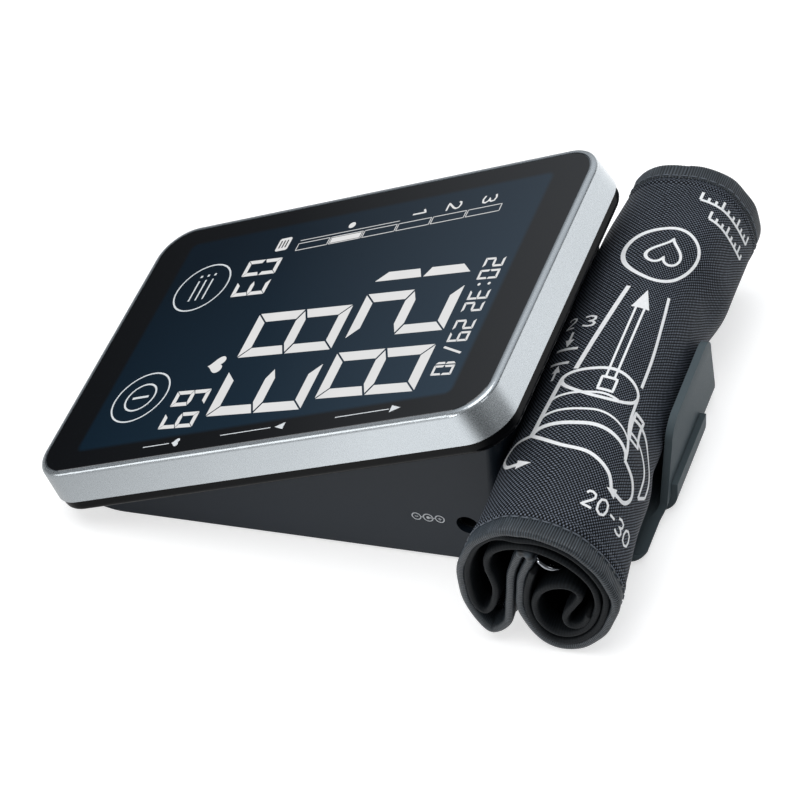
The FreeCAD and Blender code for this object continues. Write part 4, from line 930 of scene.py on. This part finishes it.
def tape_finish(name, low, high, rib, relief_height, rough, spec):
    """Woven tape: cross ribs a rib apart, painted lighter where thread and rib both stand proud, a
    painted highlight.
    """
    material, tree, surface, place = start(name)
    lay = add(tree, "ShaderNodeUVMap", uv_map="cloth")
    ribs = add(tree, "ShaderNodeTexWave", {"Vector": lay, "Scale": 0.314 / rib, "Distortion": 0.3},
               bands_direction="X", wave_profile="SIN")
    fluff = add(tree, "ShaderNodeTexNoise", {"Vector": lay, "Scale": 1 / 0.0012, "Detail": 3.0})
    # The tone is painted lighter on the raised crowns, a painted highlight.
    lift = add(tree, "ShaderNodeMath", {0: ribs.outputs["Fac"], 1: fluff}, operation="MULTIPLY")
    tone = add(tree, "ShaderNodeMix", {"Factor": lift, 6: linear(low), 7: linear(high)},
               data_type="RGBA")
    relief = add(tree, "ShaderNodeBump", {"Height": lift, "Strength": 0.8,
                                          "Distance": relief_height})
    finish = add(tree, "ShaderNodeBsdfPrincipled", {"Base Color": tone, "Roughness": rough,
                                                    "Specular IOR Level": spec, "Normal": relief})
    tree.links.new(finish.outputs[0], surface)
    return material


# Outer tape: grosgrain with ribs 0.7 mm apart, which tick along the fold like fine teeth.
ribbed_tape = tape_finish("ribbed_polyester_tape", "#0c0f12", "#59636c", rib=0.0007,
                          relief_height=0.00012, rough=0.4, spec=0.4)
# Inner tape: the same width in a flat weave, so it shows a soft dull line and no ribs.
plain_tape = tape_finish("plain_polyester_tape", "#080b0e", "#1b2126", rib=0.0009,
                         relief_height=0.00004, rough=0.6, spec=0.16)
# Four steps make one rib of the outer tape, which stands 0.15 mm proud.
rib_step, rib_height = 0.7 / 4, 0.15
for label, end, node in (("near", 1, "near_binding"), ("far", -1, "far_binding")):
    outer_tape = binding("cuff_%s_tape" % label, *outer_layer, end, rib_step, rib_height)
    seat(outer_tape, ribbed_tape, "cuff")
    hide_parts(node)
    inner_tape = binding("cuff_%s_inner_tape" % label, *inner_layer, end, cloth_spacing, 0.0)
    seat(inner_tape, plain_tape, "cuff")


def row_of_pieces(name):
    """A tree that sets one small piece along a line at an even spacing, laid with the line."""
    tree = bpy.data.node_groups.new(name, "GeometryNodeTree")
    faces = tree.interface
    faces.new_socket("Geometry", in_out="INPUT", socket_type="NodeSocketGeometry")
    for label, kind in (("Piece", "NodeSocketObject"), ("Spacing", "NodeSocketFloat"),
                        ("Finish", "NodeSocketMaterial")):
        faces.new_socket(label, in_out="INPUT", socket_type=kind)
    faces.new_socket("Geometry", in_out="OUTPUT", socket_type="NodeSocketGeometry")
    given = tree.nodes.new("NodeGroupInput").outputs
    spread = add(tree, "GeometryNodeResampleCurve", {"Curve": given["Geometry"],
                                                     "Length": given["Spacing"]}, mode="LENGTH")
    heading = add(tree, "GeometryNodeInputTangent")
    turn = add(tree, "FunctionNodeAlignRotationToVector", {"Vector": heading}, axis="X")
    piece = add(tree, "GeometryNodeObjectInfo", {"Object": given["Piece"]})
    copies = add(tree, "GeometryNodeInstanceOnPoints",
                 {"Points": spread, "Instance": piece.outputs["Geometry"], "Rotation": turn})
    solid = add(tree, "GeometryNodeRealizeInstances", {"Geometry": copies})
    dyed = add(tree, "GeometryNodeSetMaterial", {"Geometry": solid, "Material": given["Finish"]})
    add(tree, "NodeGroupOutput", {0: dyed})
    return tree


def stitch_piece(length, thick):
    """One stitch: a short thread with tapered ends."""
    shape = bmesh.new()
    rings = []
    for x, r in ((-0.5, 0.35), (-0.38, 0.9), (0.0, 1.0), (0.38, 0.9), (0.5, 0.35)):
        rings.append([shape.verts.new((x * length, math.cos(a * math.pi / 3) * thick / 2 * r,
                                       math.sin(a * math.pi / 3) * thick / 2 * r))
                      for a in range(6)])
    for a, b in zip(rings, rings[1:]):
        for k in range(6):
            shape.faces.new((a[k], b[k], b[(k + 1) % 6], a[(k + 1) % 6]))
    shape.faces.new(rings[0])
    shape.faces.new(rings[-1][::-1])
    return cloth_object("stitch", shape)


def along_line(name, points, piece, spacing, finish, closed):
    """Runs the tree on a line and keeps the result as a plain mesh."""
    curve = bpy.data.curves.new(name + "_line", "CURVE")
    curve.dimensions = "3D"
    spline = curve.splines.new("POLY")
    spline.points.add(len(points) - 1)
    for spot, point in zip(spline.points, points):
        spot.co = (*point, 1.0)
    spline.use_cyclic_u = closed
    carrier = new_object(name + "_line", curve)
    rows = carrier.modifiers.new("row", "NODES")
    rows.node_group = piece_row
    names = {item.name: item.identifier for item in piece_row.interface.items_tree
             if item.in_out == "INPUT"}
    rows[names["Piece"]] = piece
    rows[names["Spacing"]] = spacing
    rows[names["Finish"]] = finish
    bpy.context.view_layer.update()
    done = settled_mesh(carrier)
    bpy.data.objects.remove(carrier)
    return new_object(name, done)


piece_row = row_of_pieces("row of pieces")
# Twisted polyester thread is a shade lighter than the tape and catches a little light.
sewing_thread = moulded("polyester_thread", "#4a5058", "#656c75", 0.5, 0.0004, 0.00003, 0.4)
stitch = stitch_piece(length=0.0021, thick=0.00046)
stitch_pitch, stitch_inset, stitch_lift = 0.0028, 0.6, 0.16
outer_line, outer_length = smooth_line(OUTER_TURN, True, cloth_spacing)
for name, end in (("cuff_near_stitches", 1), ("cuff_far_stitches", -1)):
    x = end * (cuff_half - tape_width + stitch_inset)
    outer, _ = section(outer_line, True, x, tape_swell + stitch_lift, 0.0, True, cloth_spacing)
    seam = along_line(name, [as_point(x, p) for p in outer], stitch, stitch_pitch,
                      sewing_thread, True)
    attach(seam, "cuff")
bpy.data.objects.remove(stitch)


# ---- Print on the cuff ----
# Screen-printed white line work on the outer turn: wrap arrows, a ruler and a marker down the cuff.
# The ink is rubbery and lies on top of the threads, so the weave still shows through it.

top_index = max(range(len(outer_line)), key=lambda i: outer_line[i].y)
outer_step = outer_length / len(outer_line)


def on_cuff(s, x, lift=0.0):
    """A point on the outer turn, from millimetres round from the top and along the cuff."""
    place = top_index + s / outer_step
    i = math.floor(place)
    share = place - i
    count = len(outer_line)
    spots = [settled(outer_line[(i + k) % count], x) for k in (-1, 0, 1, 2)]
    spot = spots[1].lerp(spots[2], share)
    along = (spots[2] - spots[0]).lerp(spots[3] - spots[1], share).normalized()
    normal = Vector((-along.y, along.x))
    return as_point(x, spot + normal * (soft_push((place % count) * cloth_spacing, x) + lift))


def curve_line(points, spacing=0.6):
    """A smooth open line through a few points."""
    return [tuple(p) for p in smooth_line(points, False, spacing)[0]]


def arrow(points, width, head):
    """A bent line with a tapered head at its last point."""
    line = curve_line(points)
    tip, neck = Vector(line[-1]), Vector(line[-4])
    heading = (tip - neck).normalized()
    return [(line, width), ([tuple(tip - heading * 0.3), tuple(tip + heading * head)],
                            (head * 0.95, 0.0))]


def arc_line(s, x, half_s, half_x, start, end, count=28):
    """Part of an ellipse on the cuff, between two angles in degrees."""
    turns = [math.radians(start + (end - start) * i / count) for i in range(count + 1)]
    return [(s + half_s * math.cos(a), x + half_x * math.sin(a)) for a in turns]


def cuff_text(text, s, x, size, pitch):
    """Numerals that read round the cuff, their heads towards the far end."""
    return [([(s + index * pitch + px * size, x - py * size) for px, py in line], size * 0.22)
            for index, value in enumerate(text) for line in NUMERALS[value]]


# Each line has its width beside it. Places are millimetres round the cuff and along it.
centre, bar_half, guide, strap = 4.8, 1.5, 1.05, 0.95
cuff_lines = [
    # Sleeve of the wrap diagram: rims, side lines and two lap lines.
    (arc_line(centre, 17.0, 11.4, 5.2, 0, 360, 64), 1.0),
    (arc_line(centre, 37.5, 12.6, 5.6, 180, 360), 1.25),
    (arc_line(centre, 32.2, 12.2, 5.4, 188, 352), 0.75),
    (arc_line(centre, 26.0, 11.9, 5.3, 192, 300), 0.75),
    ([(-6.6, 17.0), (-7.8, 37.8)], guide),
    ([(16.2, 17.0), (17.4, 37.8)], guide),
    # Flap ends that cross below the sleeve, with the two wrap arrows.
    (curve_line([(-7.8, 37.8), (-1.0, 40.6), (7.0, 41.6), (14.0, 44.6), (17.2, 48.6)]), 1.1),
    *arrow([(17.4, 37.8), (22.4, 40.4), (24.6, 44.4), (22.6, 48.0), (18.6, 48.6)], 1.1, 3.2),
    *arrow([(-7.8, 37.8), (-12.6, 40.0), (-14.6, 44.0), (-12.2, 47.4), (-8.4, 47.6)], 1.1, 3.2),
    # Strap through a buckle on the right, its free end pulled round.
    (frame_line(17.6, 21.0, 21.4, 30.0), 1.0),
    (curve_line([(16.6, 23.2), (21.6, 22.8), (26.0, 25.0), (29.4, 31.0), (31.0, 39.0)]), strap),
    (curve_line([(16.8, 27.8), (20.6, 27.8), (23.6, 29.6), (26.2, 34.4), (27.6, 42.0)]), strap),
    ([(27.6, 42.0), (31.0, 39.0)], strap),
    # Index bar down the middle, pointing to the marker ring.
    ([(centre - bar_half, 15.0), (centre - bar_half, -12.0)], 0.8),
    ([(centre + bar_half, 15.0), (centre + bar_half, -12.0)], 0.8),
    (frame_line(2.2, 15.0, 7.4, 19.4), 0.9),
    ([(centre, -11.6), (centre, -18.6)], (6.4, 0.0)),
    (ring(centre, -33.0, 10.2, 80), guide),
    (closed_line(heart(centre, -33.4, 10.6)), 0.85),
    # Guide lines beside the bar, narrowing towards the ring.
    (curve_line([(-4.6, 13.0), (-3.6, 2.0), (-2.2, -10.0), (-1.0, -19.0)]), guide),
    (curve_line([(16.0, 13.0), (15.6, 2.0), (14.0, -10.0), (12.6, -19.0)]), guide),
    # Distance mark on the left: two bars with arrows that close on them.
    ([(-12.2, 5.0), (-6.2, 5.0)], strap), ([(-12.2, 10.4), (-6.8, 10.4)], strap),
    ([(-9.2, -1.6), (-9.2, 2.0)], 0.7), ([(-9.2, 1.4), (-9.2, 4.2)], (2.4, 0.0)),
    ([(-9.2, 17.0), (-9.2, 13.4)], 0.7), ([(-9.2, 14.0), (-9.2, 11.2)], (2.4, 0.0))]
# Two plain scales across the far end, with every third mark longer.
mark_pitch, mark_width = 2.5, 0.9
for low, first, count in ((-57.0, 7.0, 10), (-51.0, 12.0, 8)):
    cuff_lines.append(([(first, low), (first + (count - 1) * mark_pitch, low)], mark_width))
    for index in range(count):
        s, reach = first + index * mark_pitch, 1.8 if index % 3 else 3.2
        cuff_lines.append(([(s, low), (s, low - reach)], mark_width))
# Two sizes with a dash between them by the near end, and a length by the distance mark.
cuff_lines += cuff_text("20", 11.0, 56.5, 3.2, 4.4)
cuff_lines.append(([(20.0, 54.2), (22.0, 54.2)], 0.7))
cuff_lines += cuff_text("30", 23.2, 56.5, 3.2, 4.4) + cuff_text("23", -12.4, -3.4, 2.8, 4.8)
cuff_print = ribbon("cuff_print", cuff_lines, 0.1, on_cuff)
cuff_print.data.shade_smooth()

# Rubber ink: a flat white that the thread crowns below break up slightly.
rubber_ink, tree, surface, place = start("white_rubber_ink")
weave = add(tree, "ShaderNodeTexNoise", {"Vector": place, "Scale": 1 / 0.0007, "Detail": 2.0})
tone = add(tree, "ShaderNodeMix", {"Factor": weave, 6: linear("#dfe1e3"), 7: linear("#fbfbfc")},
           data_type="RGBA")
relief = add(tree, "ShaderNodeBump", {"Height": weave, "Strength": 0.4, "Distance": 0.00008})
finish = add(tree, "ShaderNodeBsdfPrincipled", {"Base Color": tone, "Roughness": 0.6,
                                                "Normal": relief})
tree.links.new(finish.outputs[0], surface)
seat(cuff_print, rubber_ink, "cuff")


# ---- Metal loop in the roll ----
# Bent chromed wire that the cuff's tail is threaded through; it lies in the gap above the coil.

chrome = metal("polished_chrome_wire", "#8f9297", 0.12, 0.000002, (1.0, 1.0, 1.0))
dress(chrome, "cuff_loop_bar")


# ---- Studio ----
# A pale sweep under a soft daylight box, seen by a long lens from the right rear and above.
# The floor is evenly white to the camera and through glass. In reflections its tone is painted,
# darker in front and in one spot behind on the right, so the silver frame mirrors painted shade.

reach, paper_glow = 6.0, 0.62
reflection_ramp_y, dark_reflection_at = (-0.11, 0.02), (0.36, 0.53, 0.0)
floor_mesh = bpy.data.meshes.new("studio_floor")
floor_mesh.from_pydata([(-reach, -reach, 0), (reach, -reach, 0), (reach, reach, 0),
                        (-reach, reach, 0)], [], [(0, 1, 2, 3)])
new_object("studio_floor", floor_mesh)
paper, tree, surface, place = start("white_paper_sweep")
seen = add(tree, "ShaderNodeLightPath")
direct = add(tree, "ShaderNodeMath", {0: seen.outputs["Is Camera Ray"],
                                      1: seen.outputs["Is Transmission Ray"]}, operation="MAXIMUM")
# Painted shade in front on the left and painted light behind, seen only in reflections: the silver
# frame mirrors it and goes darker that way.
spread = add(tree, "ShaderNodeSeparateXYZ", {"Vector": place})
reflection_ramp = add(tree, "ShaderNodeMapRange", {"Value": spread.outputs["Y"], "From Min": reflection_ramp_y[0],
                                        "From Max": reflection_ramp_y[1], "To Min": 0.4, "To Max": 1.2})
# A spot of painted shade behind on the right, seen only in reflections, and the frame's rear corner
# mirrors it.
off = add(tree, "ShaderNodeVectorMath", {0: place, 1: dark_reflection_at}, operation="DISTANCE")
dark_reflection_spot = add(tree, "ShaderNodeMapRange", {"Value": off, "From Min": 0.42, "From Max": 0.56,
                                              "To Min": 0.0})
painted_reflection_shade = add(tree, "ShaderNodeMath", {0: reflection_ramp, 1: dark_reflection_spot}, operation="MULTIPLY")
mirrored = add(tree, "ShaderNodeMath", {0: seen.outputs["Is Glossy Ray"], 1: painted_reflection_shade},
               operation="MULTIPLY")
either = add(tree, "ShaderNodeMath", {0: direct, 1: mirrored}, operation="MAXIMUM")
# Reflected rays also see the floor's own colour darkened by the painted shade.
reflection_darkening = add(tree, "ShaderNodeMath", {0: seen.outputs["Is Glossy Ray"], 1: mirrored},
              operation="SUBTRACT")
shown = add(tree, "ShaderNodeMix", {"Factor": reflection_darkening, 6: linear("#cfcfcf"), 7: linear("#1c1e20")},
            data_type="RGBA")
lifted = add(tree, "ShaderNodeMath", {0: either, 1: paper_glow}, operation="MULTIPLY")
finish = add(tree, "ShaderNodeBsdfPrincipled",
             {"Base Color": shown, "Roughness": 0.9, "Specular IOR Level": 0.1,
              "Emission Color": (1.0, 1.0, 1.0, 1.0), "Emission Strength": lifted})
tree.links.new(finish.outputs[0], surface)
floor_mesh.materials.append(paper)

world = bpy.data.worlds.new("studio_air")
bpy.context.scene.world = world
world.use_nodes = True
tree = world.node_tree
tree.nodes.clear()
heading = add(tree, "ShaderNodeTexCoord")
# The box hangs over the display's far side, so the sky brightens upwards and away from the right.
toward = add(tree, "ShaderNodeVectorMath", {0: heading.outputs["Generated"], 1: (-0.6, 0.0, 1.0)},
             operation="DOT_PRODUCT")
height = add(tree, "ShaderNodeMath", {0: toward, 1: 0.38}, operation="SUBTRACT")
sky = add(tree, "ShaderNodeValToRGB", {"Fac": height})
sky.color_ramp.elements[0].color = (0.16, 0.165, 0.17, 1.0)
sky.color_ramp.elements[1].color = (0.85, 0.85, 0.85, 1.0)
for position, level in ((0.19, 0.04), (0.25, 0.12), (0.34, 0.62), (0.6, 0.9)):
    sky.color_ramp.elements.new(position).color = (level, level * 1.05, level * 1.11, 1.0)
air = add(tree, "ShaderNodeBackground", {"Color": sky, "Strength": 0.75})
add(tree, "ShaderNodeOutputWorld", {"Surface": air})


def lamp(name, place, target, wide, tall, power):
    """A soft box aimed at a point."""
    data = bpy.data.lights.new(name, "AREA")
    data.shape = "RECTANGLE"
    data.size, data.size_y, data.energy = wide, tall, power
    made = new_object(name, data)
    made.location = place
    aim = Vector(target) - Vector(place)
    made.rotation_euler = aim.to_track_quat("-Z", "Y").to_euler()


# Each lamp's name, place, target, width, height and power in watts.
lamp("top_box", (0.1, 0.1, 1.3), (0, 0, 0), 1.2, 1.2, 12)
lamp("right_box", (1.2, -0.45, 0.35), (0, 0, 0.03), 0.3, 0.2, 3)
lamp("front_box", (0.73, -1.05, 0.56), (0, 0, 0.04), 1.0, 0.6, 4)
lamp("rear_box", (0.5, 1.1, 0.45), (0, 0.05, 0.03), 0.4, 0.3, 0.8)

# The long lens stands 0.88 m from the glass. These are the directions of its right, its top and
# its back, and its place from the glass middle.
camera_data = bpy.data.cameras.new("photo_camera")
camera_data.sensor_width, camera_data.lens = 36.0, 143.43
camera_data.clip_start, camera_data.clip_end = 0.05, 20.0
right = Vector((-0.3429, 0.9171, -0.2035))
up = Vector((-0.7043, -0.10758, 0.7017))
back = Vector((0.62161, 0.38394, 0.68278))
stand = Matrix((right, up, back)).transposed().to_4x4()
stand.translation = glass_middle + Vector((0.55604, 0.36283, 0.57963))
camera = new_object("photo_camera", camera_data)
camera.matrix_world = stand
bpy.context.scene.camera = camera
bpy.context.scene.view_settings.view_transform = "Standard"
